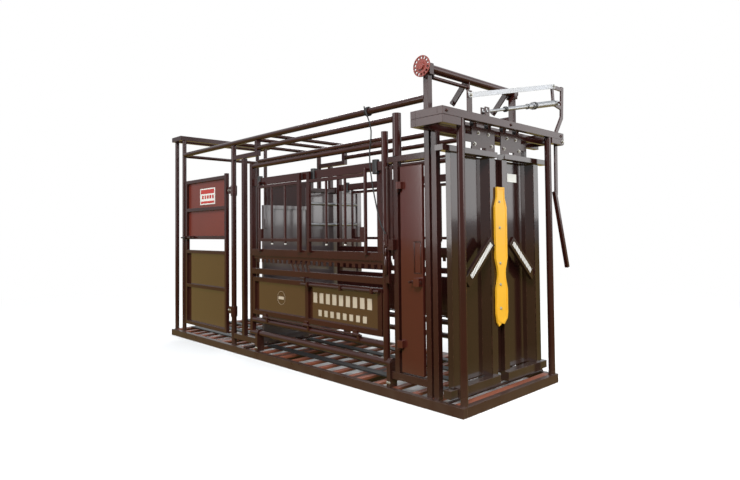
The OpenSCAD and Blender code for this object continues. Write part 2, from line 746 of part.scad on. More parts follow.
// lock of the left squeeze side, between its front stile and the neck post
lock_x = -side_x - tube / 2 - 22;
lock_y = (neck_y + tube / 2 + sq_front - pr) / 2;
lock_r = 13;
module squeeze_lock_block() {
    color(paint) difference() {
        union() {
            box(lock_x - 22, lock_x + 22, neck_y - 5, lock_y + 24, 1240, 1330);
            box(lock_x - 16, lock_x + 16, lock_y - 20, lock_y + 20, 960, 1240);
            box(lock_x - 30, lock_x - 22, lock_y - 16, lock_y + 16, 1270, 1372);
        }
        rod_z(1000, 1400, lock_x, lock_y, lock_r + run_fit);
    }
}
module squeeze_lock_rod() {
    color(bare) {
        rod_z(1000, 1930, lock_x, lock_y, lock_r);
        rod_z(1930, 1950, lock_x, lock_y, lock_r + 5);
    }
}

// ---------- rear door, its fixed twin and the tailgate ----------
door_hinge_z = [1917, 475];
door_rails = [2066, 1691, 1323, 1137, 687, 190];
door_y0 = hinge_y + 150;
door_y1 = rear_in_y - pr - 45;
bolt_z = door_rails[2] + 21;
bolt_x = side_x + 42;
module door_leaf() {
    top = door_rails[0] + door_tube;
    d = door_tube / 2;
    for (y = [door_y0, door_y1 - door_tube]) box(side_x - d, side_x + d, y, y + door_tube, door_rails[5],
        top + (y == door_y0 ? 22 : 0));
    for (z = door_rails) box(side_x - d, side_x + d, door_y0, door_y1, z, z + door_tube);
    box(side_x - d + 6, side_x - d + 6 + sheet_t, door_y0, door_y1, door_rails[2], top - 4);
    box(side_x - d + 6, side_x - d + 6 + sheet_t, door_y0, door_y1, door_rails[5],
        door_rails[3] + door_tube);
}
module rear_door() {
    color(paint) left_side() difference() {
        union() {
            door_leaf();
            for (z = door_hinge_z) {
                rod_z(z - 50, z + 50, side_x, hinge_y, pr + 9);
                box(side_x - 6, side_x + 6, hinge_y + pr, door_y0 + 4, z - 42, z + 42);
            }
            for (y = [door_y1 - 210, door_y1 - 60])
                box(side_x + 20, bolt_x + 20, y - 14, y + 14, bolt_z - 20, bolt_z + 20);
        }
        for (z = door_hinge_z) rod_z(z - 60, z + 60, side_x, hinge_y, pr + run_fit);
        for (y = [door_y1 - 210, door_y1 - 60]) rod_y(y - 20, y + 20, bolt_x, bolt_z, 10 + run_fit);
    }
}
module door_bolt() {
    color(bare) left_side() {
        rod_y(door_y1 - 290, door_y1 + 80, bolt_x, bolt_z, 10);
        box(bolt_x - 8, bolt_x + 60, door_y1 - 94, door_y1 - 80, bolt_z - 8, bolt_z + 8);
    }
}
// fixed panel on the right of the rear bay, hung on flats between its posts
module rear_side_panel() {
    color(paint) {
        door_leaf();
        for (z = door_hinge_z) {
            box(side_x - 6, side_x + 6, hinge_y + pr, door_y0, z - 42, z + 42);
            box(side_x - 6, side_x + 6, door_y1, rear_in_y - pr + 3, z - 42, z + 42);
        }
    }
}
gate_x0 = -side_x + 190;
gate_x1 = side_x + 450;
gate_split = 205;
gate_low = 120;
module tailgate() {
    y0 = tailgate_y - 20;
    y1 = tailgate_y + 20;
    low_top = 1725;
    high_top = 1960;
    color(paint) {
        box(gate_x0, gate_x0 + 55, y0, y1, gate_low, low_top);
        box(gate_split - 25, gate_split + 25, y0, y1, gate_low, high_top);
        box(gate_x1 - 70, gate_x1, y0, y1, gate_low, high_top);
        box(gate_x0, gate_x1, y0, y1, gate_low, gate_low + 60);
        box(gate_x0, gate_split, y0, y1, low_top - 45, low_top);
        box(gate_split, gate_x1, y0, y1, high_top - 45, high_top);
        box(gate_x0, gate_split, tailgate_y, tailgate_y + sheet_t, gate_low, low_top);
        box(gate_split, gate_x1, tailgate_y, tailgate_y + sheet_t, gate_low, high_top);
        for (z = [1763, 1498]) rod_x(gate_split, gate_x1 - 70, tailgate_y - 6, z, 17);
        box(gate_x0 + 12, gate_x0 + 45, y0 - 14, y0, 1450, 1560);
        for (x = [gate_x0 + 60, gate_x0 + 560]) box(x, x + 90, tailgate_y - 17.7, tailgate_y + 17.7,
            base_h + 6.3, gate_low);
    }
}
module tail_track() {
    reach = half_w - 6;
    color(paint) {
        box(-reach, reach, tailgate_y - 26, tailgate_y + 26, base_h, base_h + 6);
        for (s = [-1, 1]) box(-reach, reach, tailgate_y + s * 22 - 4, tailgate_y + s * 22 + 4, base_h,
            base_h + 24);
        // guide over the gate's top edge, held by the right tail post
        box(side_x - 20, side_x + 20, tailgate_y - 30, tail_y - tube / 2, 1963, 1985);
        for (s = [-1, 1]) box(side_x - 20, side_x + 20, tailgate_y + s * 25 - 5, tailgate_y + s * 25 + 5,
            1900, 1963);
    }
}

// ---------- neck doors ----------
neck_door_y1 = neck_y - tube / 2 - 22;
neck_door_y0 = post_b_y + tube / 2 + 37;
neck_latch_z = 985;
module neck_door() {
    y_axis = neck_y - tube / 2 - 11;
    difference() {
        union() {
            box(side_x - 14, side_x + 16, neck_door_y0, neck_door_y1, 228, 1938);
            for (z = neck_hinge_z) {
                box(side_x + 10, neck_pin_x + 6, neck_door_y1 - 34, neck_door_y1, z + 12, z + 72);
                box(neck_pin_x - 8, neck_pin_x + 8, neck_door_y1 - 34, y_axis, z + 12, z + 72);
                rod_z(z + 12, z + 72, neck_pin_x, y_axis, 14);
                rod_z(z - 16, z + 12, neck_pin_x, y_axis, hook_r);
            }
        }
        // pressed outline of the latch pocket
        difference() {
            box(side_x + 14, side_x + 30, neck_door_y0 + 16, neck_door_y0 + 98, neck_latch_z + 68,
                neck_latch_z + 332);
            box(side_x, side_x + 40, neck_door_y0 + 22, neck_door_y0 + 92, neck_latch_z + 74,
                neck_latch_z + 326);
        }
    }
    difference() {
        box(side_x + 16, side_x + 66, neck_door_y0 + 2, neck_door_y0 + 62, neck_latch_z - 34,
            neck_latch_z + 34);
        rod_y(neck_door_y0 - 10, neck_door_y0 + 80, side_x + 42, neck_latch_z, 14 + run_fit);
    }
}
module neck_latch() {
    rod_y(neck_door_y0 - 2, neck_door_y0 + 96, side_x + 42, neck_latch_z, 14);
    box(side_x + 36, side_x + 88, neck_door_y0 + 84, neck_door_y0 + 96, neck_latch_z - 8, neck_latch_z + 8);
}
module left_neck_door() {
    color(paint) left_side() neck_door();
}
module right_neck_door() {
    color(paint) neck_door();
}
module left_neck_latch() {
    color(bare) left_side() neck_latch();
}
module right_neck_latch() {
    color(bare) neck_latch();
}

// ---------- rope from the top rail to the squeeze lock ----------
rope_r = 6;
rope_points = [[-700, -1440, 2512], [-716, -1462, 2480], [-712, -1492, 2420], [-706, -1518, 2350],
    [-702, -1530, 2280], [-700, -1524, 2210], [-698, -1510, 2150], [-697, -1502, 2080],
    [-696, -1504, 2000], [-697, -1514, 1920], [-699, -1530, 1840], [-702, -1550, 1760],
    [-706, -1574, 1680], [-710, -1600, 1600], [-715, -1630, 1520], [-720, -1662, 1450],
    [-723, -1700, 1400], [-723, -1716, 1376]];
function unit(v) = v / norm(v);
function rope_tangent(i) = unit(rope_points[min(i + 1, len(rope_points) - 1)] - rope_points[max(i - 1, 0)]);
function rope_ring(i, sides) = let (t = rope_tangent(i), u = unit(cross(t, [1, 0, 0])), v = cross(t, u))
    [for (k = [0:sides - 1]) rope_points[i] + rope_r * (cos(360 * k / sides) * u + sin(360 * k / sides) * v)];
module release_rope() {
    sides = 8;
    n = len(rope_points);
    rings = [for (i = [0:n - 1]) each rope_ring(i, sides)];
    walls = [for (i = [0:n - 2]) for (k = [0:sides - 1]) [i * sides + k, i * sides + (k + 1) % sides,
        (i + 1) * sides + (k + 1) % sides, (i + 1) * sides + k]];
    caps = [[for (k = [0:sides - 1]) sides - 1 - k], [for (k = [0:sides - 1]) (n - 1) * sides + k]];
    color(black) polyhedron(rings, concat(walls, caps));
}

base_rails();
base_crossmembers();
floor_rungs();
floor_treads();
front_posts();
gate_side_posts();
header_beams();
header_ends();
gate_tracks();
lever_bracket();
rear_posts();
rear_header();
hinge_posts();
tail_posts();
top_rails();
roof_crossbars();
side_sills();
pivot_brackets();
neck_posts();
shaft_posts();
tail_track();
rear_side_panel();
squeeze_lock_block();
squeeze_lock_rod();
left_leaf_frame();
left_leaf_sheet();
left_hanger();
left_roller_inner();
left_roller_outer();
neck_board();
right_leaf_frame();
right_leaf_sheet();
right_hanger();
right_roller_inner();
right_roller_outer();
lever_arm();
lever_head();
link_bar();
brake_cylinder();
brake_rod();
shaft_tube();
lock_disc();
left_squeeze_frame();
right_squeeze_frame();
left_rear_window();
left_front_window();
right_rear_window();
right_front_window();
left_drop_panel();
right_drop_panel();
left_drop_latch();
right_drop_latch();
rear_door();
door_bolt();
left_neck_door();
right_neck_door();
left_neck_latch();
right_neck_latch();
tailgate();
release_rope();
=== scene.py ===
"""Looks, small fittings, studio and camera for a cattle squeeze chute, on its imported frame."""

import json
import logging
import math
from abc import ABC, abstractmethod
from dataclasses import dataclass, field
from enum import Enum
from typing import Sequence

import bmesh
import bpy
from mathutils import Matrix, Vector


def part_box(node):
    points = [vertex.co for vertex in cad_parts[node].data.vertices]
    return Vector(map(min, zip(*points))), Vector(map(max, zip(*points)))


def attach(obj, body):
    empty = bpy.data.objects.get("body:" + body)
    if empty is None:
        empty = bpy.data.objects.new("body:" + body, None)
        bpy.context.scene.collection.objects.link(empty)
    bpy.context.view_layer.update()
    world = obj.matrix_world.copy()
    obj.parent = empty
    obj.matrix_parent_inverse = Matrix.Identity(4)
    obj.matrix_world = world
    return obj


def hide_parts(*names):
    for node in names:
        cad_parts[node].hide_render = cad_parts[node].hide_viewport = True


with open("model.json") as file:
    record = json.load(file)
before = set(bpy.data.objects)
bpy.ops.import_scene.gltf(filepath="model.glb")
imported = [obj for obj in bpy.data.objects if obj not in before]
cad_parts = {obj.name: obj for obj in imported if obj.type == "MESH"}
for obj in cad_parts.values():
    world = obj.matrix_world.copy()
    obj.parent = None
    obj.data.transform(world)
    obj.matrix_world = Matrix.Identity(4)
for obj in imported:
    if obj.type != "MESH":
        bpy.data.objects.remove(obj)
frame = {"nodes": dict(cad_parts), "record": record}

logging.basicConfig(level=logging.INFO, format="%(levelname)s %(message)s")
log = logging.getLogger("chute")

Colour = tuple[float, float, float]
Point = tuple[float, float, float]
Span = tuple[float, float]
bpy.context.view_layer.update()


class Axis(Enum):
    """A direction that a fastener's head looks in."""

    PLUS_X = (1.0, 0.0, 0.0)
    MINUS_X = (-1.0, 0.0, 0.0)
    PLUS_Y = (0.0, 1.0, 0.0)
    MINUS_Y = (0.0, -1.0, 0.0)

    @property
    def vector(self) -> Vector:
        """Returns: the direction as a vector."""
        return Vector(self.value)


class Side(Enum):
    """The two long sides of the chute."""

    LEFT = -1
    RIGHT = 1

    @property
    def word(self) -> str:
        """Returns: the side's name as the bodies spell it."""
        return self.name.lower()


# ---------------------------------------------------------------- shader groups


class ShaderGroups:
    """Shared shader effects, each built once and used by several finishes."""

    _made: dict[str, bpy.types.NodeTree] = {}

    @classmethod
    def _new(cls, name: str) -> bpy.types.NodeTree:
        """Starts an empty shader group.

        Args:
            name: the group's name.
        Returns: the new group.
        """
        tree = bpy.data.node_groups.new(name, "ShaderNodeTree")
        cls._made[name] = tree
        return tree

    @classmethod
    def edge_wear(cls) -> bpy.types.NodeTree:
        """Returns: a group whose mask is 1 on convex edges, broken up by noise."""
        if "EdgeWear" in cls._made:
            return cls._made["EdgeWear"]
        tree = cls._new("EdgeWear")
        tree.interface.new_socket("Width", in_out="INPUT", socket_type="NodeSocketFloat").default_value = 0.004
        tree.interface.new_socket("Mask", in_out="OUTPUT", socket_type="NodeSocketFloat")
        nodes, links = tree.nodes, tree.links
        entry, leave = nodes.new("NodeGroupInput"), nodes.new("NodeGroupOutput")
        bevel, geometry = nodes.new("ShaderNodeBevel"), nodes.new("ShaderNodeNewGeometry")
        bevel.samples = 4
        dot = nodes.new("ShaderNodeVectorMath")
        dot.operation = "DOT_PRODUCT"
        ramp = nodes.new("ShaderNodeMapRange")
        ramp.inputs["From Min"].default_value = 0.985
        ramp.inputs["From Max"].default_value = 0.86
        coords, noise = nodes.new("ShaderNodeTexCoord"), nodes.new("ShaderNodeTexNoise")
        noise.inputs["Scale"].default_value = 26.0
        noise.inputs["Detail"].default_value = 5.0
        breakup = nodes.new("ShaderNodeMapRange")
        breakup.inputs["From Min"].default_value = 0.46
        breakup.inputs["From Max"].default_value = 0.62
        both = nodes.new("ShaderNodeMath")
        both.operation = "MULTIPLY"
        links.new(entry.outputs["Width"], bevel.inputs["Radius"])
        links.new(bevel.outputs["Normal"], dot.inputs[0])
        links.new(geometry.outputs["Normal"], dot.inputs[1])
        links.new(dot.outputs["Value"], ramp.inputs["Value"])
        links.new(coords.outputs["Object"], noise.inputs["Vector"])
        links.new(noise.outputs["Fac"], breakup.inputs["Value"])
        links.new(ramp.outputs["Result"], both.inputs[0])
        links.new(breakup.outputs["Result"], both.inputs[1])
        links.new(both.outputs["Value"], leave.inputs["Mask"])
        return tree

    @classmethod
    def ground_dust(cls) -> bpy.types.NodeTree:
        """Returns: a group whose mask grows towards the ground and on faces that look up."""
        if "GroundDust" in cls._made:
            return cls._made["GroundDust"]
        tree = cls._new("GroundDust")
        tree.interface.new_socket("Height", in_out="INPUT", socket_type="NodeSocketFloat").default_value = 0.5
        tree.interface.new_socket("Mask", in_out="OUTPUT", socket_type="NodeSocketFloat")
        nodes, links = tree.nodes, tree.links
        entry, leave = nodes.new("NodeGroupInput"), nodes.new("NodeGroupOutput")
        coords, split = nodes.new("ShaderNodeTexCoord"), nodes.new("ShaderNodeSeparateXYZ")
        low = nodes.new("ShaderNodeMapRange")
        low.inputs["To Min"].default_value = 0.4
        low.inputs["To Max"].default_value = 0.0
        geometry, tilt = nodes.new("ShaderNodeNewGeometry"), nodes.new("ShaderNodeSeparateXYZ")
        facing = nodes.new("ShaderNodeMapRange")
        facing.inputs["From Min"].default_value = 0.6
        facing.inputs["To Max"].default_value = 0.14
        noise = nodes.new("ShaderNodeTexNoise")
        noise.inputs["Scale"].default_value = 7.0
        noise.inputs["Detail"].default_value = 6.0
        total, product = nodes.new("ShaderNodeMath"), nodes.new("ShaderNodeMath")
        total.operation, product.operation = "ADD", "MULTIPLY"
        links.new(coords.outputs["Object"], split.inputs["Vector"])
        links.new(coords.outputs["Object"], noise.inputs["Vector"])
        links.new(split.outputs["Z"], low.inputs["Value"])
        links.new(entry.outputs["Height"], low.inputs["From Max"])
        links.new(geometry.outputs["Normal"], tilt.inputs["Vector"])
        links.new(tilt.outputs["Z"], facing.inputs["Value"])
        links.new(low.outputs["Result"], total.inputs[0])
        links.new(facing.outputs["Result"], total.inputs[1])
        links.new(total.outputs["Value"], product.inputs[0])
        links.new(noise.outputs["Fac"], product.inputs[1])
        links.new(product.outputs["Value"], leave.inputs["Mask"])
        return tree

    @classmethod
    def soft_grain(cls) -> bpy.types.NodeTree:
        """Returns: a group with a rounded-edge bump normal and a slow tone variation."""
        if "SoftGrain" in cls._made:
            return cls._made["SoftGrain"]
        tree = cls._new("SoftGrain")
        tree.interface.new_socket("Grain Scale", in_out="INPUT", socket_type="NodeSocketFloat").default_value = 90.0
        tree.interface.new_socket("Strength", in_out="INPUT", socket_type="NodeSocketFloat").default_value = 0.1
        tree.interface.new_socket("Rounding", in_out="INPUT", socket_type="NodeSocketFloat").default_value = 0.004
        tree.interface.new_socket("Normal", in_out="OUTPUT", socket_type="NodeSocketVector")
        tree.interface.new_socket("Tone", in_out="OUTPUT", socket_type="NodeSocketFloat")
        nodes, links = tree.nodes, tree.links
        entry, leave = nodes.new("NodeGroupInput"), nodes.new("NodeGroupOutput")
        coords, fine, slow = (nodes.new(k) for k in ("ShaderNodeTexCoord", "ShaderNodeTexNoise", "ShaderNodeTexNoise"))
        fine.inputs["Detail"].default_value = 3.0
        slow.inputs["Scale"].default_value = 2.2
        slow.inputs["Detail"].default_value = 4.0
        bevel, bump = nodes.new("ShaderNodeBevel"), nodes.new("ShaderNodeBump")
        bevel.samples = 4
        bump.inputs["Distance"].default_value = 0.002
        links.new(coords.outputs["Object"], fine.inputs["Vector"])
        links.new(coords.outputs["Object"], slow.inputs["Vector"])
        links.new(entry.outputs["Grain Scale"], fine.inputs["Scale"])
        links.new(entry.outputs["Rounding"], bevel.inputs["Radius"])
        links.new(entry.outputs["Strength"], bump.inputs["Strength"])
        links.new(fine.outputs["Fac"], bump.inputs["Height"])
        links.new(bevel.outputs["Normal"], bump.inputs["Normal"])
        links.new(bump.outputs["Normal"], leave.inputs["Normal"])
        links.new(slow.outputs["Fac"], leave.inputs["Tone"])
        return tree


# ---------------------------------------------------------------- finishes


@dataclass(frozen=True)
class Finish(ABC):
    """A surface finish that builds one material.

    Args:
        name: the material's name.
        slot: the record's material slot.
        colour: the main linear colour.
        roughness: the base roughness.
    """

    name: str
    slot: str
    colour: Colour
    roughness: float = 0.4

    @abstractmethod
    def shade(self, tree: bpy.types.NodeTree, shader: bpy.types.Node) -> None:
        """Wires the finish's own nodes.

        Args:
            tree: the material's node tree.
            shader: its Principled shader.
        """

    def build(self) -> bpy.types.Material:
        """Returns: the finish's material, made on first use."""
        known = bpy.data.materials.get(self.name)
        if known:
            return known
        material = bpy.data.materials.new(self.name)
        material.use_nodes = True
        shader = material.node_tree.nodes["Principled BSDF"]
        shader.inputs["Base Color"].default_value = (*self.colour, 1.0)
        shader.inputs["Roughness"].default_value = self.roughness
        self.shade(material.node_tree, shader)
        log.info("material %s", self.name)
        return material

    @staticmethod
    def group(tree: bpy.types.NodeTree, source: bpy.types.NodeTree, **values: float) -> bpy.types.Node:
        """Adds a shader group.

        Args:
            tree: where it goes.
            source: the group's tree.
            values: its inputs, with underscores for spaces.
        Returns: the group's node.
        """
        node = tree.nodes.new("ShaderNodeGroup")
        node.node_tree = source
        for key, value in values.items():
            node.inputs[key.replace("_", " ")].default_value = value
        return node

    @staticmethod
    def mix(tree: bpy.types.NodeTree, factor: bpy.types.NodeSocket, first: Colour | bpy.types.NodeSocket,
            second: Colour) -> bpy.types.NodeSocket:
        """Mixes two colours.

        Args:
            tree: the material's node tree.
            factor: the mask.
            first: colour or socket where the mask is 0.
            second: colour where the mask is 1.
        Returns: the mixed colour's socket.
        """
        node = tree.nodes.new("ShaderNodeMix")
        node.data_type = "RGBA"
        tree.links.new(factor, node.inputs["Factor"])
        if isinstance(first, tuple):
            node.inputs[6].default_value = (*first, 1.0)
        else:
            tree.links.new(first, node.inputs[6])
        node.inputs[7].default_value = (*second, 1.0)
        return node.outputs[2]


@dataclass(frozen=True)
class GlossPaint(Finish):
    """Brushed or sprayed gloss enamel on steel, worn through to primer on edges.

    Args:
        second: the colour of its thinner, redder areas.
        worn: the colour on worn edges.
        dust: the dust's colour.
        dust_height: how high the ground dust reaches, in metres.
        coat: how strong its clear gloss is.
        sheen: how much it mirrors under the gloss.
    """

    second: Colour = (0.045, 0.012, 0.009)
    worn: Colour = (0.11, 0.045, 0.035)
    dust: Colour = (0.12, 0.085, 0.06)
    dust_height: float = 0.35
    coat: float = 0.1
    sheen: float = 0.3

    def shade(self, tree: bpy.types.NodeTree, shader: bpy.types.Node) -> None:
        """Wires tone, wear, dust and a soft orange-peel normal."""
        grain = self.group(tree, ShaderGroups.soft_grain(), Grain_Scale=60.0, Strength=0.12, Rounding=0.005)
        wear = self.group(tree, ShaderGroups.edge_wear(), Width=0.004)
        dust = self.group(tree, ShaderGroups.ground_dust(), Height=self.dust_height)
        base = self.mix(tree, grain.outputs["Tone"], self.colour, self.second)
        worn = self.mix(tree, wear.outputs["Mask"], base, self.worn)
        final = self.mix(tree, dust.outputs["Mask"], worn, self.dust)
        rough = tree.nodes.new("ShaderNodeMapRange")
        rough.inputs["To Min"].default_value = self.roughness
        rough.inputs["To Max"].default_value = 0.8
        tree.links.new(dust.outputs["Mask"], rough.inputs["Value"])
        tree.links.new(rough.outputs["Result"], shader.inputs["Roughness"])
        tree.links.new(final, shader.inputs["Base Color"])
        tree.links.new(grain.outputs["Normal"], shader.inputs["Normal"])
        shader.inputs["Coat Weight"].default_value = self.coat
        shader.inputs["Coat Roughness"].default_value = 0.06
        shader.inputs["Specular IOR Level"].default_value = self.sheen


@dataclass(frozen=True)
class BareMetal(Finish):
    """Galvanised or polished steel with spangle and stains.

    Args:
        stain: the colour of its duller patches.
        streak: how strongly the roughness varies.
    """

    stain: Colour = (0.28, 0.27, 0.25)
    streak: float = 0.25

    def shade(self, tree: bpy.types.NodeTree, shader: bpy.types.Node) -> None:
        """Wires the spangle, stains and edge rounding."""
        grain = self.group(tree, ShaderGroups.soft_grain(), Grain_Scale=140.0, Strength=0.08, Rounding=0.002)
        coords, cells = tree.nodes.new("ShaderNodeTexCoord"), tree.nodes.new("ShaderNodeTexVoronoi")
        cells.inputs["Scale"].default_value = 85.0
        tree.links.new(coords.outputs["Object"], cells.inputs["Vector"])
        rough = tree.nodes.new("ShaderNodeMapRange")
        rough.inputs["To Min"].default_value = self.roughness
        rough.inputs["To Max"].default_value = self.roughness + self.streak
        tree.links.new(cells.outputs["Distance"], rough.inputs["Value"])
        tree.links.new(rough.outputs["Result"], shader.inputs["Roughness"])
        tree.links.new(self.mix(tree, grain.outputs["Tone"], self.colour, self.stain), shader.inputs["Base Color"])
        tree.links.new(grain.outputs["Normal"], shader.inputs["Normal"])
        shader.inputs["Metallic"].default_value = 0.9


@dataclass(frozen=True)
class MouldedPlastic(Finish):
    """Moulded plastic or rubber with a fine texture and scuffed edges.

    Args:
        scuff: the colour on scuffed edges.
        grain: the texture's scale.
    """

    scuff: Colour = (0.2, 0.2, 0.2)
    grain: float = 200.0

    def shade(self, tree: bpy.types.NodeTree, shader: bpy.types.Node) -> None:
        """Wires the texture, tone and scuffs."""
        grain = self.group(tree, ShaderGroups.soft_grain(), Grain_Scale=self.grain, Strength=0.3, Rounding=0.003)
        wear = self.group(tree, ShaderGroups.edge_wear(), Width=0.003)
        darker = tuple(0.7 * c for c in self.colour)
        base = self.mix(tree, grain.outputs["Tone"], self.colour, darker)
        tree.links.new(self.mix(tree, wear.outputs["Mask"], base, self.scuff), shader.inputs["Base Color"])
        tree.links.new(grain.outputs["Normal"], shader.inputs["Normal"])


@dataclass(frozen=True)
class Striped(Finish):
    """Adhesive tape or braid with slanted stripes.

    Args:
        stripe: the stripes' colour.
        pitch: stripes per metre, times two pi.
        slant: the direction across the stripes.
        share: the mask's threshold, 0 for equal stripes.
    """

    stripe: Colour = (0.1, 0.05, 0.04)
    pitch: float = 300.0
    slant: tuple[float, float, float] = (0.3, 0.0, 1.0)
    share: float = 0.3

    def shade(self, tree: bpy.types.NodeTree, shader: bpy.types.Node) -> None:
        """Wires the stripes and a slow dirt tone."""
        grain = self.group(tree, ShaderGroups.soft_grain(), Grain_Scale=120.0, Strength=0.2, Rounding=0.001)
        coords, across = tree.nodes.new("ShaderNodeTexCoord"), tree.nodes.new("ShaderNodeVectorMath")
        across.operation = "DOT_PRODUCT"
        across.inputs[1].default_value = tuple(self.pitch * v for v in self.slant)
        wave, edge = tree.nodes.new("ShaderNodeMath"), tree.nodes.new("ShaderNodeMapRange")
        wave.operation = "SINE"
        edge.inputs["From Min"].default_value = self.share - 0.15
        edge.inputs["From Max"].default_value = self.share + 0.15
        tree.links.new(coords.outputs["Object"], across.inputs[0])
        tree.links.new(across.outputs["Value"], wave.inputs[0])
        tree.links.new(wave.outputs["Value"], edge.inputs["Value"])
        darker = tuple(0.72 * c for c in self.colour)
        base = self.mix(tree, grain.outputs["Tone"], self.colour, darker)
        tree.links.new(self.mix(tree, edge.outputs["Result"], base, self.stripe), shader.inputs["Base Color"])
        tree.links.new(grain.outputs["Normal"], shader.inputs["Normal"])


class Palette:
    """Every finish on the chute."""

    FRAME = GlossPaint("FramePaint", "frame_paint", (0.018, 0.0042, 0.0032), 0.2, second=(0.034, 0.0075, 0.006))
    SIDE = GlossPaint("SidePaint", "side_paint", (0.019, 0.0042, 0.0034), 0.18, second=(0.04, 0.0085, 0.0068))
    GATE = GlossPaint("GatePaint", "gate_paint", (0.012, 0.0042, 0.0034), 0.12, second=(0.024, 0.0075, 0.006),
                      coat=0.3, sheen=0.4)
    DOOR = GlossPaint("DoorPaint", "side_paint", (0.045, 0.0092, 0.0065), 0.13, second=(0.066, 0.013, 0.009),
                      coat=0.25, sheen=0.35)
    # lower door panes and drop panels: a darker olive-brown that is partly the sheet's paint and partly a painted
    # reflection of the sunlit ground
    PANE = GlossPaint("PanePaintAndGroundReflection", "side_paint", (0.035, 0.012, 0.007), 0.08, second=(0.05, 0.016, 0.009),
                      coat=1.0, sheen=0.7)
    PANE_RED = GlossPaint("UpperPanePaint", "side_paint", (0.12, 0.021, 0.014), 0.3, second=(0.16, 0.029, 0.019))
    SHEET = GlossPaint("TailgatePaint", "side_paint", (0.06, 0.045, 0.045), 0.12, second=(0.11, 0.09, 0.092),
                       coat=0.8, sheen=0.6)
    FLOOR = GlossPaint("FloorPaint", "floor_paint", (0.16, 0.042, 0.024), 0.4, second=(0.32, 0.1, 0.055),
                       dust_height=0.1)
    ZINC = BareMetal("Zinc", "zinc", (0.4, 0.42, 0.46), 0.26)
    BOLT = BareMetal("PlatedBolt", "zinc", (0.5, 0.49, 0.46), 0.24)
    TREAD = Striped("RibbedTread", "tread", (0.03, 0.03, 0.032), 0.45, stripe=(0.01, 0.01, 0.01), pitch=420.0,
                    slant=(0.0, 1.0, 0.0), share=0.0)
    NYLON = MouldedPlastic("BlackNylon", "nylon", (0.018, 0.018, 0.02), 0.42)
    BOARD = MouldedPlastic("YellowBoard", "board", (0.85, 0.44, 0.02), 0.38, scuff=(0.55, 0.3, 0.05), grain=60.0)
    ROPE = Striped("BraidedRope", "rope", (0.02, 0.02, 0.022), 0.75, stripe=(0.005, 0.005, 0.005), pitch=900.0,
                   slant=(0.7, 0.3, 1.0), share=0.2)
    TAPE = Striped("HatchedTape", "board", (0.85, 0.85, 0.83), 0.3, stripe=(0.12, 0.1, 0.1), pitch=300.0,
                   slant=(1.0, 0.0, 0.35), share=0.4)
    LABEL = MouldedPlastic("PaleLabel", "board", (0.82, 0.82, 0.79), 0.4, scuff=(0.6, 0.6, 0.58), grain=80.0)
    LABEL_RED = MouldedPlastic("RedLabel", "board", (0.5, 0.03, 0.025), 0.4, scuff=(0.6, 0.2, 0.18), grain=80.0)
    STENCIL = MouldedPlastic("StencilPaint", "board", (0.5, 0.42, 0.32), 0.5, scuff=(0.35, 0.28, 0.2), grain=50.0)
    DISC = GlossPaint("DiscPaint", "side_paint", (0.16, 0.03, 0.022), 0.3, second=(0.24, 0.05, 0.04))
    DARK = GlossPaint("LatchPaint", "zinc", (0.012, 0.006, 0.005), 0.25)

    @classmethod
    def special(cls) -> dict[str, Finish]:
        """Returns: the nodes whose finish isn't their slot's first one."""
        dark = ("left_neck_latch", "right_neck_latch", "left_drop_latch", "right_drop_latch",
                "door_bolt", "squeeze_lock_rod", "left_hanger", "right_hanger")
        return {"lock_disc": cls.DISC, "tailgate": cls.SHEET, "left_neck_door": cls.DOOR,
                "right_neck_door": cls.DOOR, **{name: cls.DARK for name in dark}}


# ---------------------------------------------------------------- pieces


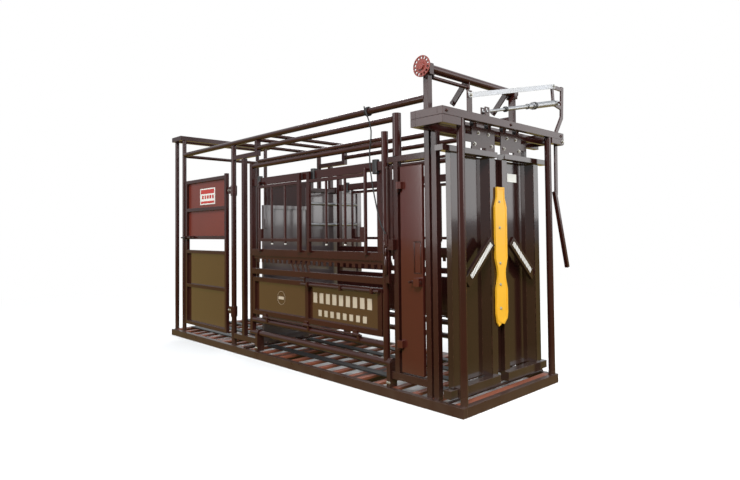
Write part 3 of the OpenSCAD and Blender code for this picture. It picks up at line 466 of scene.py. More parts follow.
@dataclass
class Solid:
    """Collects simple closed shapes into one mesh piece.

    Args:
        name: the piece's name.
        finish: its finish.
        body: the body that it rides on.
        mesh: the shapes collected so far.
    """

    name: str
    finish: Finish
    body: str
    mesh: bmesh.types.BMesh = field(default_factory=bmesh.new)

    def box(self, low: Sequence[float], high: Sequence[float], bevel: float = 0.0) -> "Solid":
        """Adds a box with softened edges.

        Args:
            low: its lowest corner.
            high: its highest corner.
            bevel: the edges' width.
        Returns: the piece.
        """
        lo, hi = Vector(low), Vector(high)
        place = Matrix.Translation((lo + hi) / 2) @ Matrix.Diagonal((*(hi - lo), 1.0))
        made = bmesh.ops.create_cube(self.mesh, size=1.0, matrix=place)["verts"]
        if bevel > 0:
            edges = list({e for v in made for e in v.link_edges})
            bmesh.ops.bevel(self.mesh, geom=edges, offset=bevel, segments=2, affect="EDGES", profile=0.6)
        return self

    def tube(self, start: Vector, end: Vector, radius: float, sides: int = 24) -> "Solid":
        """Adds a closed cylinder with a chamfered rim.

        Args:
            start: the middle of one end.
            end: the middle of the other end.
            radius: its radius.
            sides: how many sides.
        Returns: the piece.
        """
        along = (end - start).normalized()
        turn = along.to_track_quat("Z", "Y").to_matrix()
        length = (end - start).length
        rim = min(radius * 0.18, length * 0.3)
        angles = [2 * math.pi * k / sides for k in range(sides)]
        rings = []
        for t, r in ((0.0, radius - rim), (rim, radius), (length - rim, radius), (length, radius - rim)):
            centre, rays = start + along * t, [Vector((r * math.cos(a), r * math.sin(a), 0.0)) for a in angles]
            rings.append([self.mesh.verts.new(centre + turn @ ray) for ray in rays])
        for lower, upper in zip(rings, rings[1:]):
            for k in range(sides):
                self.mesh.faces.new((lower[k], lower[(k + 1) % sides], upper[(k + 1) % sides], upper[k]))
        self.mesh.faces.new(list(reversed(rings[0])))
        self.mesh.faces.new(rings[-1])
        return self

    def ring(self, centre: Vector, axis: Vector, radius: float, thick: float, sides: int = 28,
             round_tube: int = 8) -> "Solid":
        """Adds a torus.

        Args:
            centre: its centre.
            axis: the direction through its hole.
            radius: its main radius.
            thick: its tube's radius.
            sides: sections round the ring.
            round_tube: sides of its tube.
        Returns: the piece.
        """
        turn = axis.to_track_quat("Z", "Y").to_matrix()
        rows = []
        for i in range(sides):
            a = 2 * math.pi * i / sides
            out = Vector((math.cos(a), math.sin(a), 0.0))
            offsets = [out * (radius + thick * math.cos(b)) + Vector((0, 0, thick * math.sin(b)))
                       for b in (2 * math.pi * j / round_tube for j in range(round_tube))]
            rows.append([self.mesh.verts.new(centre + turn @ offset) for offset in offsets])
        for row, after in zip(rows, rows[1:] + rows[:1]):
            for j in range(round_tube):
                k = (j + 1) % round_tube
                self.mesh.faces.new((row[j], after[j], after[k], row[k]))
        return self

    def plate(self, outline: Sequence[Span], hole: Sequence[Span], y0: float, y1: float) -> "Solid":
        """Adds a flat ring between two outlines of equal length in an XZ plane.

        Args:
            outline: the outer points.
            hole: the inner points, in the same order.
            y0: its front face.
            y1: its back face.
        Returns: the piece.
        """
        loops = [[self.mesh.verts.new((x, y, z)) for x, z in points] for y in (y0, y1) for points in (outline, hole)]
        count = len(outline)
        front_out, front_in, back_out, back_in = loops
        for a, b in ((front_out, front_in), (front_in, back_in), (back_in, back_out), (back_out, front_out)):
            for k in range(count):
                self.mesh.faces.new((a[k], a[(k + 1) % count], b[(k + 1) % count], b[k]))
        return self

    def finished(self, smooth: bool = False) -> bpy.types.Object:
        """Turns the shapes into an object that rides on its body.

        Args:
            smooth: whether faces are shaded smooth.
        Returns: the object.
        """
        bmesh.ops.recalc_face_normals(self.mesh, faces=self.mesh.faces)
        data = bpy.data.meshes.new(self.name)
        self.mesh.to_mesh(data)
        self.mesh.free()
        for polygon in data.polygons:
            polygon.use_smooth = smooth
        data.materials.append(self.finish.build())
        piece = bpy.data.objects.new(self.name, data)
        bpy.context.scene.collection.objects.link(piece)
        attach(piece, self.body)
        log.info("piece %s: %d faces", self.name, len(data.polygons))
        return piece


@dataclass
class BoltSet:
    """Hexagon bolt heads on washers, repeated by Geometry Nodes.

    Args:
        name: the piece's name.
        body: the body that it rides on.
        axis: where the heads look.
        points: the places on the face that they sit on.
        size: the head's radius.
        finish: their finish.
    """

    name: str
    body: str
    axis: Axis
    points: list[Vector]
    size: float = 0.011
    finish: Finish = Palette.BOLT

    @staticmethod
    def _tree() -> bpy.types.NodeTree:
        """Returns: the shared node group that puts a bolt on each point."""
        known = bpy.data.node_groups.get("BoltOnPoints")
        if known:
            return known
        tree = bpy.data.node_groups.new("BoltOnPoints", "GeometryNodeTree")
        face = tree.interface
        face.new_socket("Geometry", in_out="INPUT", socket_type="NodeSocketGeometry")
        face.new_socket("Head Radius", in_out="INPUT", socket_type="NodeSocketFloat").default_value = 0.011
        face.new_socket("Rotation", in_out="INPUT", socket_type="NodeSocketRotation")
        face.new_socket("Finish", in_out="INPUT", socket_type="NodeSocketMaterial")
        face.new_socket("Geometry", in_out="OUTPUT", socket_type="NodeSocketGeometry")
        nodes, links = tree.nodes, tree.links
        entry, leave = nodes.new("NodeGroupInput"), nodes.new("NodeGroupOutput")
        parts = []
        for sides, share, height, lift in ((6, 1.0, 0.75, 0.55), (20, 1.45, 0.22, 0.11), (16, 0.55, 0.3, 1.0)):
            barrel, radius = nodes.new("GeometryNodeMeshCylinder"), nodes.new("ShaderNodeMath")
            depth, up = nodes.new("ShaderNodeMath"), nodes.new("ShaderNodeMath")
            vector, shift = nodes.new("ShaderNodeCombineXYZ"), nodes.new("GeometryNodeTransform")
            barrel.inputs["Vertices"].default_value = sides
            for node, share_of in ((radius, share), (depth, height), (up, lift)):
                node.operation = "MULTIPLY"
                node.inputs[1].default_value = share_of
                links.new(entry.outputs["Head Radius"], node.inputs[0])
            links.new(radius.outputs["Value"], barrel.inputs["Radius"])
            links.new(depth.outputs["Value"], barrel.inputs["Depth"])
            links.new(up.outputs["Value"], vector.inputs["Z"])
            links.new(barrel.outputs["Mesh"], shift.inputs["Geometry"])
            links.new(vector.outputs["Vector"], shift.inputs["Translation"])
            parts.append(shift)
        join, place = nodes.new("GeometryNodeJoinGeometry"), nodes.new("GeometryNodeInstanceOnPoints")
        for part in parts:
            links.new(part.outputs["Geometry"], join.inputs["Geometry"])
        real, paint = nodes.new("GeometryNodeRealizeInstances"), nodes.new("GeometryNodeSetMaterial")
        links.new(entry.outputs["Geometry"], place.inputs["Points"])
        links.new(join.outputs["Geometry"], place.inputs["Instance"])
        links.new(entry.outputs["Rotation"], place.inputs["Rotation"])
        links.new(place.outputs["Instances"], real.inputs["Geometry"])
        links.new(real.outputs["Geometry"], paint.inputs["Geometry"])
        links.new(entry.outputs["Finish"], paint.inputs["Material"])
        links.new(paint.outputs["Geometry"], leave.inputs["Geometry"])
        return tree

    def build(self) -> bpy.types.Object:
        """Returns: the bolts as one real mesh that rides on its body."""
        data = bpy.data.meshes.new(self.name)
        data.from_pydata([tuple(p) for p in self.points], [], [])
        piece = bpy.data.objects.new(self.name, data)
        bpy.context.scene.collection.objects.link(piece)
        modifier = piece.modifiers.new("Bolts", "NODES")
        modifier.node_group = self._tree()
        sockets = {s.name: s.identifier for s in modifier.node_group.interface.items_tree if s.in_out == "INPUT"}
        modifier[sockets["Head Radius"]] = self.size
        modifier[sockets["Rotation"]] = tuple(self.axis.vector.to_track_quat("Z", "Y").to_euler())
        modifier[sockets["Finish"]] = self.finish.build()
        graph = bpy.context.evaluated_depsgraph_get()
        real = bpy.data.meshes.new_from_object(piece.evaluated_get(graph))
        piece.modifiers.remove(modifier)
        piece.data = real
        if not real.materials:
            real.materials.append(self.finish.build())
        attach(piece, self.body)
        log.info("bolts %s: %d", self.name, len(self.points))
        return piece


# ---------------------------------------------------------------- sub-assemblies


def node_box(node: str) -> tuple[Vector, Vector]:
    """Reads a CAD node's box.

    Args:
        node: the node's name.
    Returns: its lowest and highest corners.
    """
    low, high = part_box(node)
    return Vector(low), Vector(high)


class SubAssembly(ABC):
    """A group of pieces that belong together."""

    @abstractmethod
    def build(self) -> None:
        """Makes the pieces."""


@dataclass
class PaintShop(SubAssembly):
    """Gives every CAD node the finish of its material slot.

    Args:
        by_slot: the finish of each slot.
        special: nodes whose finish isn't their slot's first one.
    """

    by_slot: dict[str, Finish]
    special: dict[str, Finish]

    def build(self) -> None:
        """Assigns a material to each node."""
        slots = {row["node"]: row["material_slot"] for row in frame["record"]["subparts"]}
        for name, node in frame["nodes"].items():
            finish = self.special.get(name, self.by_slot[slots[name]])
            node.data.materials.clear()
            node.data.materials.append(finish.build())
            for polygon in node.data.polygons:
                polygon.material_index = 0


@dataclass(frozen=True)
class BarRow:
    """A row of plain bars, spread along Y.

    Args:
        count: how many bars.
        start: where the first one starts.
        pitch: from one bar to the next.
        width: a bar's width.
        foot: the row's lower edge.
        top: its upper edge.
    """

    count: int
    start: float
    pitch: float
    width: float
    foot: float
    top: float

    def paint(self, piece: Solid, inside: float, outside: float, origin: float = 0.0) -> None:
        """Adds the row to a piece.

        Args:
            piece: what it is added to.
            inside: the bars' lower X.
            outside: the bars' upper X.
            origin: where the row's start is measured from.
        """
        for k in range(self.count):
            y = origin + self.start + k * self.pitch
            piece.box((inside, y, self.foot), (outside, y + self.width, self.top))


@dataclass
class SqueezeFittings(SubAssembly):
    """Small fittings on one squeeze side: sleeves, window caps and stencils.

    Args:
        side: which side.
        middle: from the chute's middle to the side's plane.
        rear_sleeve: from the side's rear end to its rear sleeve.
        front_sleeves: from the side's front end to the other two.
        sleeve_half: half of a sleeve's length.
        sleeve_reach: half of its thickness.
        sleeve_foot: the height of its lower end.
        sleeve_height: how tall it is.
        sleeve_edge: the width of its softened edges.
        cap_shares: where a window's caps stand, as shares of its length.
        cap_z: a cap's lower and upper ends.
        cap_radius: its radius.
        panel_face: from the chute's middle to the drop panel's painted face.
        paint: the thickness of the stencil's paint.
        rows_inset: from the panel's front end to where the rows are measured from.
        rows: the rows of bars.
        ring_inset: from the panel's rear end to the ring's centre.
        ring_z: the height of its centre.
        ring_radius: its radius.
        ring_bar: half the length and half the height of the bar inside it.
    """

    side: Side
    middle: float = 0.65
    rear_sleeve: float = 0.18
    front_sleeves: Span = (1.08, 0.19)
    sleeve_half: float = 0.028
    sleeve_reach: float = 0.02
    sleeve_foot: float = 1.905
    sleeve_height: float = 0.13
    sleeve_edge: float = 0.006
    cap_shares: Span = (0.34, 0.66)
    cap_z: Span = (1.272, 1.286)
    cap_radius: float = 0.012
    panel_face: float = 0.6435
    paint: float = 0.0012
    rows_inset: float = 0.12
    rows: tuple[BarRow, ...] = (BarRow(9, 0.03, 0.098, 0.06, 0.70, 0.8), BarRow(8, 0.1, 0.092, 0.05, 0.575, 0.635))
    ring_inset: float = 0.52
    ring_z: float = 0.70
    ring_radius: float = 0.07
    ring_bar: Span = (0.05, 0.015)

    def build(self) -> None:
        """Makes the side's pieces."""
        self._sleeves()
        for place in ("rear", "front"):
            self._window_caps(place)
        self._stencils()

    def _sleeves(self) -> None:
        """Adds the black sleeves over the side's upper band."""
        word, middle = self.side.word, self.side.value * self.middle
        low, high = node_box(f"{word}_squeeze_frame")
        sleeves = Solid(f"{word}_band_sleeves", Palette.NYLON, f"{word}_side")
        for y in (high.y - self.rear_sleeve, *(low.y + inset for inset in self.front_sleeves)):
            sleeves.box((middle - self.sleeve_reach, y - self.sleeve_half, self.sleeve_foot),
                        (middle + self.sleeve_reach, y + self.sleeve_half, self.sleeve_foot + self.sleeve_height),
                        self.sleeve_edge)
        sleeves.finished()

    def _window_caps(self, place: str) -> None:
        """Adds the pale caps under a window's bars.

        Args:
            place: rear or front.
        """
        word = self.side.word
        low, high = node_box(f"{word}_{place}_window")
        caps = Solid(f"{word}_{place}_window_caps", Palette.LABEL, f"{word}_window_{place}")
        x, (foot, top) = (low.x + high.x) / 2, self.cap_z
        for share in self.cap_shares:
            y = low.y + (high.y - low.y) * share
            caps.tube(Vector((x, y, foot)), Vector((x, y, top)), self.cap_radius, 16)
        caps.finished()

    def _stencils(self) -> None:
        """Adds plain stencilled bars and a ring on the drop panel."""
        word, s = self.side.word, self.side.value
        low, high = node_box(f"{word}_drop_panel")
        face = s * self.panel_face
        inside, outside = sorted((face, face + s * self.paint))
        bars = Solid(f"{word}_panel_stencil", Palette.STENCIL, f"{word}_drop")
        for row in self.rows:
            row.paint(bars, inside, outside, low.y + self.rows_inset)
        centre, (half_y, half_z) = Vector((face, high.y - self.ring_inset, self.ring_z)), self.ring_bar
        bars.ring(centre, Vector((1, 0, 0)), self.ring_radius, self.paint, 40)
        bars.box((inside, centre.y - half_y, self.ring_z - half_z), (outside, centre.y + half_y, self.ring_z + half_z))
        bars.finished()


@dataclass
class HeadGateFittings(SubAssembly):
    """Tapes, labels, rim and bolts on the two leaves of the head gate.

    Args:
        tape_width: the width of the hatched tape.
        tape_ends: X and Z of the tape's two ends.
        tape_depth: how far it stands out of the brace, and how far it sinks in.
        hanger_face: Y of the hanger plates' front.
        hanger_bolts: X and Z of the bolts in a hanger plate.
        waist: the board's narrow half width, as a share of its wide one.
        board_foot: the height of the board's tip.
        rim_base: the height that the hole is scaled about, with the board's top.
        rim_scale: the hole's width and height, as shares of the rim's.
        rim_depth: how far the rim stands out of the board, and how far it sinks in.
        screw_x: X of the board's screws.
        screw_heights: their heights.
        label: two corners of the blank label.
    """

    tape_width: float = 0.042
    tape_ends: tuple[Span, Span] = ((0.165, 1.287), (0.45, 1.03))
    tape_depth: Span = (0.0012, 0.0005)
    hanger_face: float = -2.364
    hanger_bolts: tuple[Span, ...] = ((0.094, 2.105), (0.334, 2.105), (0.14, 2.2), (0.28, 2.2))
    waist: float = 0.62
    board_foot: float = 0.608
    rim_base: float = 0.6
    rim_scale: Span = (0.8, 0.975)
    rim_depth: Span = (0.004, 0.002)
    screw_x: float = -0.022
    screw_heights: tuple[float, ...] = (1.64, 1.42, 1.12, 0.94, 0.74)
    label: tuple[Point, Point] = ((0.24, -2.2985, 1.83), (0.39, -2.2965, 1.905))

    def build(self) -> None:
        """Makes the head gate's pieces."""
        for side in Side:
            self._tape(side)
            self._hanger_bolts(side)
        self._board_rim()
        self._label()

    def _tape(self, side: Side) -> None:
        """Adds the hatched tape on a leaf's diagonal brace.

        Args:
            side: which leaf.
        """
        brace_face = node_box(f"{side.word}_leaf_sheet")[0].y
        start, end = (Vector((side.value * x, 0, z)) for x, z in self.tape_ends)
        along = (end - start).normalized()
        across = Vector((-along.z, 0, along.x)) * self.tape_width / 2
        y0, y1 = brace_face - self.tape_depth[0], brace_face + self.tape_depth[1]
        tape = Solid(f"{side.word}_brace_tape", Palette.TAPE, f"{side.word}_leaf")
        corners = [start + across, end + across, end - across, start - across]
        front = [tape.mesh.verts.new((c.x, y0, c.z)) for c in corners]
        back = [tape.mesh.verts.new((c.x, y1, c.z)) for c in corners]
        tape.mesh.faces.new(front)
        tape.mesh.faces.new(list(reversed(back)))
        for k in range(4):
            tape.mesh.faces.new((front[k], back[k], back[(k + 1) % 4], front[(k + 1) % 4]))
        tape.finished()

    def _hanger_bolts(self, side: Side) -> None:
        """Adds the bolts through a leaf's hanger plate.

        Args:
            side: which leaf.
        """
        points = [Vector((side.value * x, self.hanger_face, z)) for x, z in self.hanger_bolts]
        BoltSet(f"{side.word}_hanger_bolts", f"{side.word}_leaf", Axis.MINUS_Y, points, 0.011).build()

    def _board_rim(self) -> None:
        """Adds the raised rim and screws of the neck board."""
        low, high = node_box("neck_board")
        half = (high.x - low.x) / 2
        neck, top = half * self.waist, high.z
        profile = [(neck, top), (neck + 0.002, top - 0.09), (half, top - 0.17), (half, 1.16), (neck + 0.004, 1.07),
                   (neck, 1.03), (neck + 0.004, 0.99), (half - 0.004, 0.9), (half - 0.004, 0.7), (half - 0.014, 0.645)]
        outline = profile + [(0.0, self.board_foot)] + [(-x, z) for x, z in reversed(profile)]
        middle, (wide, tall) = (top + self.rim_base) / 2, self.rim_scale
        hole = [(x * wide, middle + (z - middle) * tall) for x, z in outline]
        rim = Solid("neck_board_rim", Palette.BOARD, "left_leaf")
        rim.plate(outline, hole, low.y - self.rim_depth[0], low.y + self.rim_depth[1])
        rim.finished()
        screws = [Vector((self.screw_x, low.y, z)) for z in self.screw_heights]
        BoltSet("neck_board_screws", "left_leaf", Axis.MINUS_Y, screws, 0.009).build()

    def _label(self) -> None:
        """Adds a blank label high on the right leaf."""
        label = Solid("leaf_label", Palette.LABEL, "right_leaf")
        label.box(*self.label)
        label.finished()


@dataclass
class SheetCoats(SubAssembly):
    """Coats on the recessed sheets of the rear door and the drop panels: the door's upper panes in the sheet's red,
    and its lower panes and the drop panels in a darker olive that is partly their paint and partly a painted
    reflection of the ground.

    Args:
        door_x: the two faces of the door's coats.
        door_y: from the door's hinge stile to its outer stile.
        upper_panes: the heights of the door's upper panes.
        lower_panes: the heights of its lower panes, whose darker olive coat is partly their paint and partly a painted
            reflection of the ground.
        drop_x: from the chute's middle to the two faces of a drop panel's coat.
        drop_panes: where a drop panel's panes start and end along Y.
        drop_z: their lower and upper edges.
    """

    door_x: Span = (-0.6388, -0.6378)
    door_y: Span = (1.11, 2.123)
    upper_panes: tuple[Span, ...] = ((1.365, 1.691), (1.733, 2.066))
    lower_panes: tuple[Span, ...] = ((0.232, 0.687), (0.729, 1.137))
    drop_x: Span = (0.6426, 0.6434)
    drop_panes: tuple[Span, ...] = ((-1.557, -0.564), (-0.514, 0.421))
    drop_z: Span = (0.538, 0.856)

    def build(self) -> None:
        """Makes the coats."""
        self._door_coat("rear_door_upper_coat", Palette.PANE_RED, self.upper_panes)
        # the lower panes' darker olive is partly the sheet's paint and partly a painted reflection of the ground; the
        # upper panes keep the sheet's red
        self._door_coat("rear_door_lower_coat", Palette.PANE, self.lower_panes)
        foot, top = self.drop_z
        for side in Side:
            inner, outer = sorted(side.value * x for x in self.drop_x)
            # the drop panels' darker olive is partly their paint and partly a painted reflection of the ground
            coat = Solid(f"{side.word}_panel_coat", Palette.PANE, f"{side.word}_drop")
            for front, rear in self.drop_panes:
                coat.box((inner, front, foot), (outer, rear, top))
            coat.finished()

    def _door_coat(self, name: str, finish: Finish, panes: Sequence[Span]) -> None:
        """Adds one coat on the rear door.

        Args:
            name: the piece's name.
            finish: its finish.
            panes: the heights of the panes that it covers.
        """
        coat = Solid(name, finish, "palpation_door")
        for foot, top in panes:
            coat.box((self.door_x[0], self.door_y[0], foot), (self.door_x[1], self.door_y[1], top))
        coat.finished()


@dataclass
class NeckFittings(SubAssembly):
    """Wire handles on the neck doors, and the dark lever on the lock of the left squeeze side.

    Args:
        handle_x: from the chute's middle to a handle.
        handle_y: a handle's front and rear edges.
        handle_z: its lower and upper edges.
        wire: its wire's radius.
        lever_xy: the lever's place.
        lever_z: the heights of its top, its step and its foot.
        guard: from the lever to the guard rod beside it.
        guard_rise: how far the guard stands above the lever's top and foot.
        guard_radius: its radius.
    """

    handle_x: float = 0.6685
    handle_y: Span = (-2.06, -1.992)
    handle_z: Span = (1.056, 1.31)
    wire: float = 0.0035
    lever_xy: Span = (-0.724, -1.716)
    lever_z: tuple[float, float, float] = (1.255, 1.19, 1.03)
    guard: Span = (0.002, 0.024)
    guard_rise: Span = (0.07, 0.03)
    guard_radius: float = 0.006

    def build(self) -> None:
        """Makes the handles and the lever."""
        for side in Side:
            self._handle(side)
        self._lever()

    def _handle(self, side: Side) -> None:
        """Adds the wire handle of a neck door.

        Args:
            side: which door.
        """
        x, (y0, y1), (z0, z1) = side.value * self.handle_x, self.handle_y, self.handle_z
        handle = Solid(f"{side.word}_door_handle", Palette.DARK, f"{side.word}_neck")
        corners = [Vector((x, y, z)) for y, z in ((y0, z0), (y1, z0), (y1, z1), (y0, z1))]
        for k, corner in enumerate(corners):
            handle.tube(corner, corners[(k + 1) % 4], self.wire, 10)
        handle.finished(True)

    def _lever(self) -> None:
        """Adds the stepped lever and the guard rod beside it."""
        lever = Solid("lock_lever", Palette.DARK, "stand")
        top, step, foot = (Vector((*self.lever_xy, z)) for z in self.lever_z)
        lever.tube(top, step, 0.009, 16)
        lever.tube(step, foot, 0.016, 20)
        upper, lower = (end + Vector((*self.guard, rise)) for end, rise in zip((top, foot), self.guard_rise))
        for start, end in ((upper, lower), (upper, top), (lower, foot)):
            lever.tube(start, end, self.guard_radius, 12)
        lever.finished(True)


@dataclass
class DoorPlates(SubAssembly):
    """Blank warning plate on the rear door and bolts on its hinges.

    Args:
        face: X of the door's sheet.
        plate_y: the plate's front and rear edges.
        plate_z: its lower and upper edges.
        rows: the bars on it.
        hinge_x: X of the hinges' outer face.
        hinge_z: the hinges' heights.
        hinge_bolts: Y of the bolts in a hinge.
        grip_inset: from the bolt's rear end to its grip.
        grip_reach: how far the grip reaches back and out from the bolt's outer face.
        grip_radius: its radius.
    """

    face: float = -0.638
    plate_y: Span = (1.40, 1.80)
    plate_z: Span = (1.77, 1.98)
    rows: tuple[BarRow, ...] = (BarRow(1, 1.42, 0.0, 0.36, 1.91, 1.965), BarRow(5, 1.43, 0.068, 0.045, 1.845, 1.89),
                                BarRow(1, 1.42, 0.0, 0.36, 1.785, 1.815))
    hinge_x: float = -0.656
    hinge_z: Span = (1.917, 0.475)
    hinge_bolts: Span = (0.985, 1.03)
    grip_inset: float = 0.167
    grip_reach: Span = (-0.001, 0.035)
    grip_radius: float = 0.012

    def build(self) -> None:
        """Makes the plate and the bolts."""
        plate = Solid("door_plate", Palette.LABEL, "palpation_door")
        plate.box((self.face - 0.0025, self.plate_y[0], self.plate_z[0]),
                  (self.face + 0.0005, self.plate_y[1], self.plate_z[1]), 0.001)
        plate.finished()
        bars = Solid("door_plate_bars", Palette.LABEL_RED, "palpation_door")
        for row in self.rows:
            row.paint(bars, self.face - 0.0035, self.face - 0.002)
        bars.finished()
        hinges = [Vector((self.hinge_x, y, z)) for z in self.hinge_z for y in self.hinge_bolts]
        BoltSet("door_hinge_bolts", "palpation_door", Axis.MINUS_X, hinges, 0.01).build()
        self._grip()

    def _grip(self) -> None:
        """Adds the grip of the door's sliding bolt."""
        low, high = node_box("door_bolt")
        y, z = high.y - self.grip_inset, (low.z + high.z) / 2
        pull = Solid("door_bolt_grip", Palette.NYLON, "palpation_bolt")
        pull.tube(*(Vector((low.x + reach, y, z)) for reach in self.grip_reach), self.grip_radius)
        pull.finished(True)


@dataclass
class FrameFasteners(SubAssembly):
    """Bolts, weld rings and end caps of the standing frame.

    Args:
        bearing: from the chute's middle, and from the ground, to the floor bearings' bolts.
        bearing_y: the bearings' places.
        bearing_half: half the distance between a bearing's two bolts.
        header_inset: from the header's ends to its outer bolts.
        header_drop: from the header's top to its bolts.
        posts: X, Y and radius of each pair of posts.
        weld_z: the height of the posts' welds.
        weld: a weld's radius.
        cap_x: from the chute's middle to an end cap's two sides.
        cap_y: its front and back.
        cap_z: its lower and upper edges.
        pivot: X and Z of the lever's pivot.
        pivot_y: Y of its nut and of its head.
    """

    bearing: Span = (0.694, 0.12)
    bearing_y: Span = (-1.701, 0.363)
    bearing_half: float = 0.012
    header_inset: float = 0.05
    header_drop: float = 0.03
    posts: tuple[Point, ...] = ((0.66, -2.468, 0.03), (0.65, 2.465, 0.027), (0.65, 2.24, 0.027), (0.65, 0.918, 0.03))
    weld_z: float = 0.08
    weld: float = 0.004
    cap_x: Span = (0.632, 0.668)
    cap_y: Span = (-1.6915, -1.6885)
    cap_z: Span = (1.992, 2.028)
    pivot: Span = (0.885, 2.232)
    pivot_y: Span = (-2.498, -2.41)

    def build(self) -> None:
        """Makes the frame's small pieces."""
        self._bearing_bolts()
        self._header_bolts()
        self._post_welds()
        self._end_caps()
        (x, z), (nut_y, head_y) = self.pivot, self.pivot_y
        BoltSet("lever_pivot_nut", "stand", Axis.MINUS_Y, [Vector((x, nut_y, z))], 0.013).build()
        BoltSet("lever_pivot_head", "stand", Axis.PLUS_Y, [Vector((x, head_y, z))], 0.014).build()

    def _bearing_bolts(self) -> None:
        """Adds the bolts of the squeeze sides' floor bearings."""
        (x, z), half = self.bearing, self.bearing_half
        for side, axis in ((Side.LEFT, Axis.MINUS_X), (Side.RIGHT, Axis.PLUS_X)):
            points = [Vector((side.value * x, y + d, z)) for y in self.bearing_y for d in (-half, half)]
            BoltSet(f"bearing_bolts_{side.word}", "stand", axis, points, 0.008).build()

    def _header_bolts(self) -> None:
        """Adds a painted bolt at both ends and in the middle of the header's front."""
        low, high = node_box("header_beams")
        between = high.x - low.x - 2 * self.header_inset
        points = [Vector((low.x + self.header_inset + k * between / 6, low.y, high.z - self.header_drop))
                  for k in (0, 3, 6)]
        BoltSet("header_bolts", "stand", Axis.MINUS_Y, points, 0.01, Palette.FRAME).build()

    def _post_welds(self) -> None:
        """Adds the weld rings at the posts' feet."""
        welds = Solid("post_foot_welds", Palette.FRAME, "stand")
        for x, y, radius in self.posts:
            for side in Side:
                welds.ring(Vector((side.value * x, y, self.weld_z)), Vector((0, 0, 1)), radius + 0.001, self.weld, 32)
        welds.finished(True)

    def _end_caps(self) -> None:
        """Adds the caps on the ends of the neck's beams."""
        caps = Solid("beam_end_caps", Palette.NYLON, "stand")
        for side in Side:
            x0, x1 = sorted(side.value * x for x in self.cap_x)
            caps.box((x0, self.cap_y[0], self.cap_z[0]), (x1, self.cap_y[1], self.cap_z[1]), 0.001)
        caps.finished()


@dataclass
class TailgateTubes(SubAssembly):
    """Bright sleeves on the two cross tubes of the tailgate's extension.

    Args:
        start_x: X of the sleeves' inner ends.
        end_inset: from the tailgate's outer edge to their outer ends.
        heights: their heights.
        radius: their radius.
        offset: how far back from the tailgate's middle they sit.
    """

    start_x: float = 0.235
    end_inset: float = 0.075
    heights: Span = (1.763, 1.498)
    radius: float = 0.0185
    offset: float = 0.001

    def build(self) -> None:
        """Makes the sleeves."""
        low, high = node_box("tailgate")
        y = (low.y + high.y) / 2 + self.offset
        tubes = Solid("tailgate_tubes", Palette.ZINC, "rear_gate")
        for z in self.heights:
            tubes.tube(Vector((self.start_x, y, z)), Vector((high.x - self.end_inset, y, z)), self.radius, 28)
        tubes.finished(True)


@dataclass
class LinkFittings(SubAssembly):
    """Nuts on the link, and dark clamps and seals on the brake.

    Args:
        link_pins: X and Z of the link's two pins.
        rod_end: the eye of the brake's rod.
        body_end: the pin of the brake's cylinder.
        clamps: start, length and radius of each clamp along the brake.
        collar: start, end and radius of the rod's collar.
    """

    link_pins: tuple[Span, Span] = ((-0.49, 2.465), (0.835, 2.765))
    rod_end: Point = (-0.335, -2.47, 2.35)
    body_end: Point = (0.855, -2.47, 2.605)
    clamps: tuple[Point, ...] = ((0.745, 0.055, 0.034), (0.65, 0.014, 0.0245), (1.13, 0.02, 0.0295))
    collar: Point = (0.288, 0.32, 0.0235)

    def build(self) -> None:
        """Makes the link's and brake's pieces."""
        face = node_box("link_bar")[0].y
        BoltSet("link_nuts", "link", Axis.MINUS_Y, [Vector((x, face, z)) for x, z in self.link_pins], 0.012).build()
        origin = Vector(self.rod_end)
        along = (Vector(self.body_end) - origin).normalized()
        clamps = Solid("brake_clamps", Palette.NYLON, "brake_body")
        for start, length, radius in self.clamps:
            clamps.tube(origin + along * start, origin + along * (start + length), radius, 32)
        clamps.finished(True)
        start, end, radius = self.collar
        collar = Solid("brake_rod_collar", Palette.NYLON, "brake_piston")
        collar.tube(origin + along * start, origin + along * end, radius, 32)
        collar.finished(True)


@dataclass
class PullRope(SubAssembly):
    """The pull rope: tied round the top rail, hanging to the squeeze lock.

    Args:
        route: the rope's points, in metres.
        radius: its radius.
        turns: how many turns tie it to the rail.
        rail: X and Z of the rail.
        first_turn: Y of the first turn.
        turn_pitch: from one turn to the next.
        turn_radius: a turn's radius.
    """

    route: tuple[Point, ...] = (
        (-0.700, -1.440, 2.512), (-0.716, -1.462, 2.480), (-0.712, -1.492, 2.420), (-0.706, -1.518, 2.350),
        (-0.702, -1.530, 2.280), (-0.700, -1.524, 2.210), (-0.698, -1.510, 2.150), (-0.697, -1.502, 2.080),
        (-0.696, -1.504, 2.000), (-0.697, -1.514, 1.920), (-0.699, -1.530, 1.840), (-0.702, -1.550, 1.760),
        (-0.706, -1.574, 1.680), (-0.710, -1.600, 1.600), (-0.715, -1.630, 1.520), (-0.720, -1.662, 1.450),
        (-0.723, -1.700, 1.400), (-0.723, -1.716, 1.376))
    radius: float = 0.006
    turns: int = 3
    rail: Span = (-0.65, 2.475)
    first_turn: float = -1.452
    turn_pitch: float = 0.013
    turn_radius: float = 0.0365

    def build(self) -> None:
        """Makes the rope, and the turns that tie it to the rail."""
        data = bpy.data.curves.new("pull_rope", "CURVE")
        data.dimensions = "3D"
        data.bevel_depth = self.radius
        data.bevel_resolution = 3
        data.use_fill_caps = True
        spline = data.splines.new("POLY")
        spline.points.add(len(self.route) - 1)
        for point, place in zip(spline.points, self.route):
            point.co = (*place, 1.0)
        data.materials.append(Palette.ROPE.build())
        rope = bpy.data.objects.new("pull_rope", data)
        bpy.context.scene.collection.objects.link(rope)
        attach(rope, "stand")
        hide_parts("release_rope")
        tie = Solid("rope_turns", Palette.ROPE, "stand")
        x, z = self.rail
        for k in range(self.turns):
            centre = Vector((x, self.first_turn + k * self.turn_pitch, z))
            tie.ring(centre, Vector((0, 1, 0.06)), self.turn_radius, self.radius, 40)
        knot = tie.finished(True)


# ---------------------------------------------------------------- studio and camera


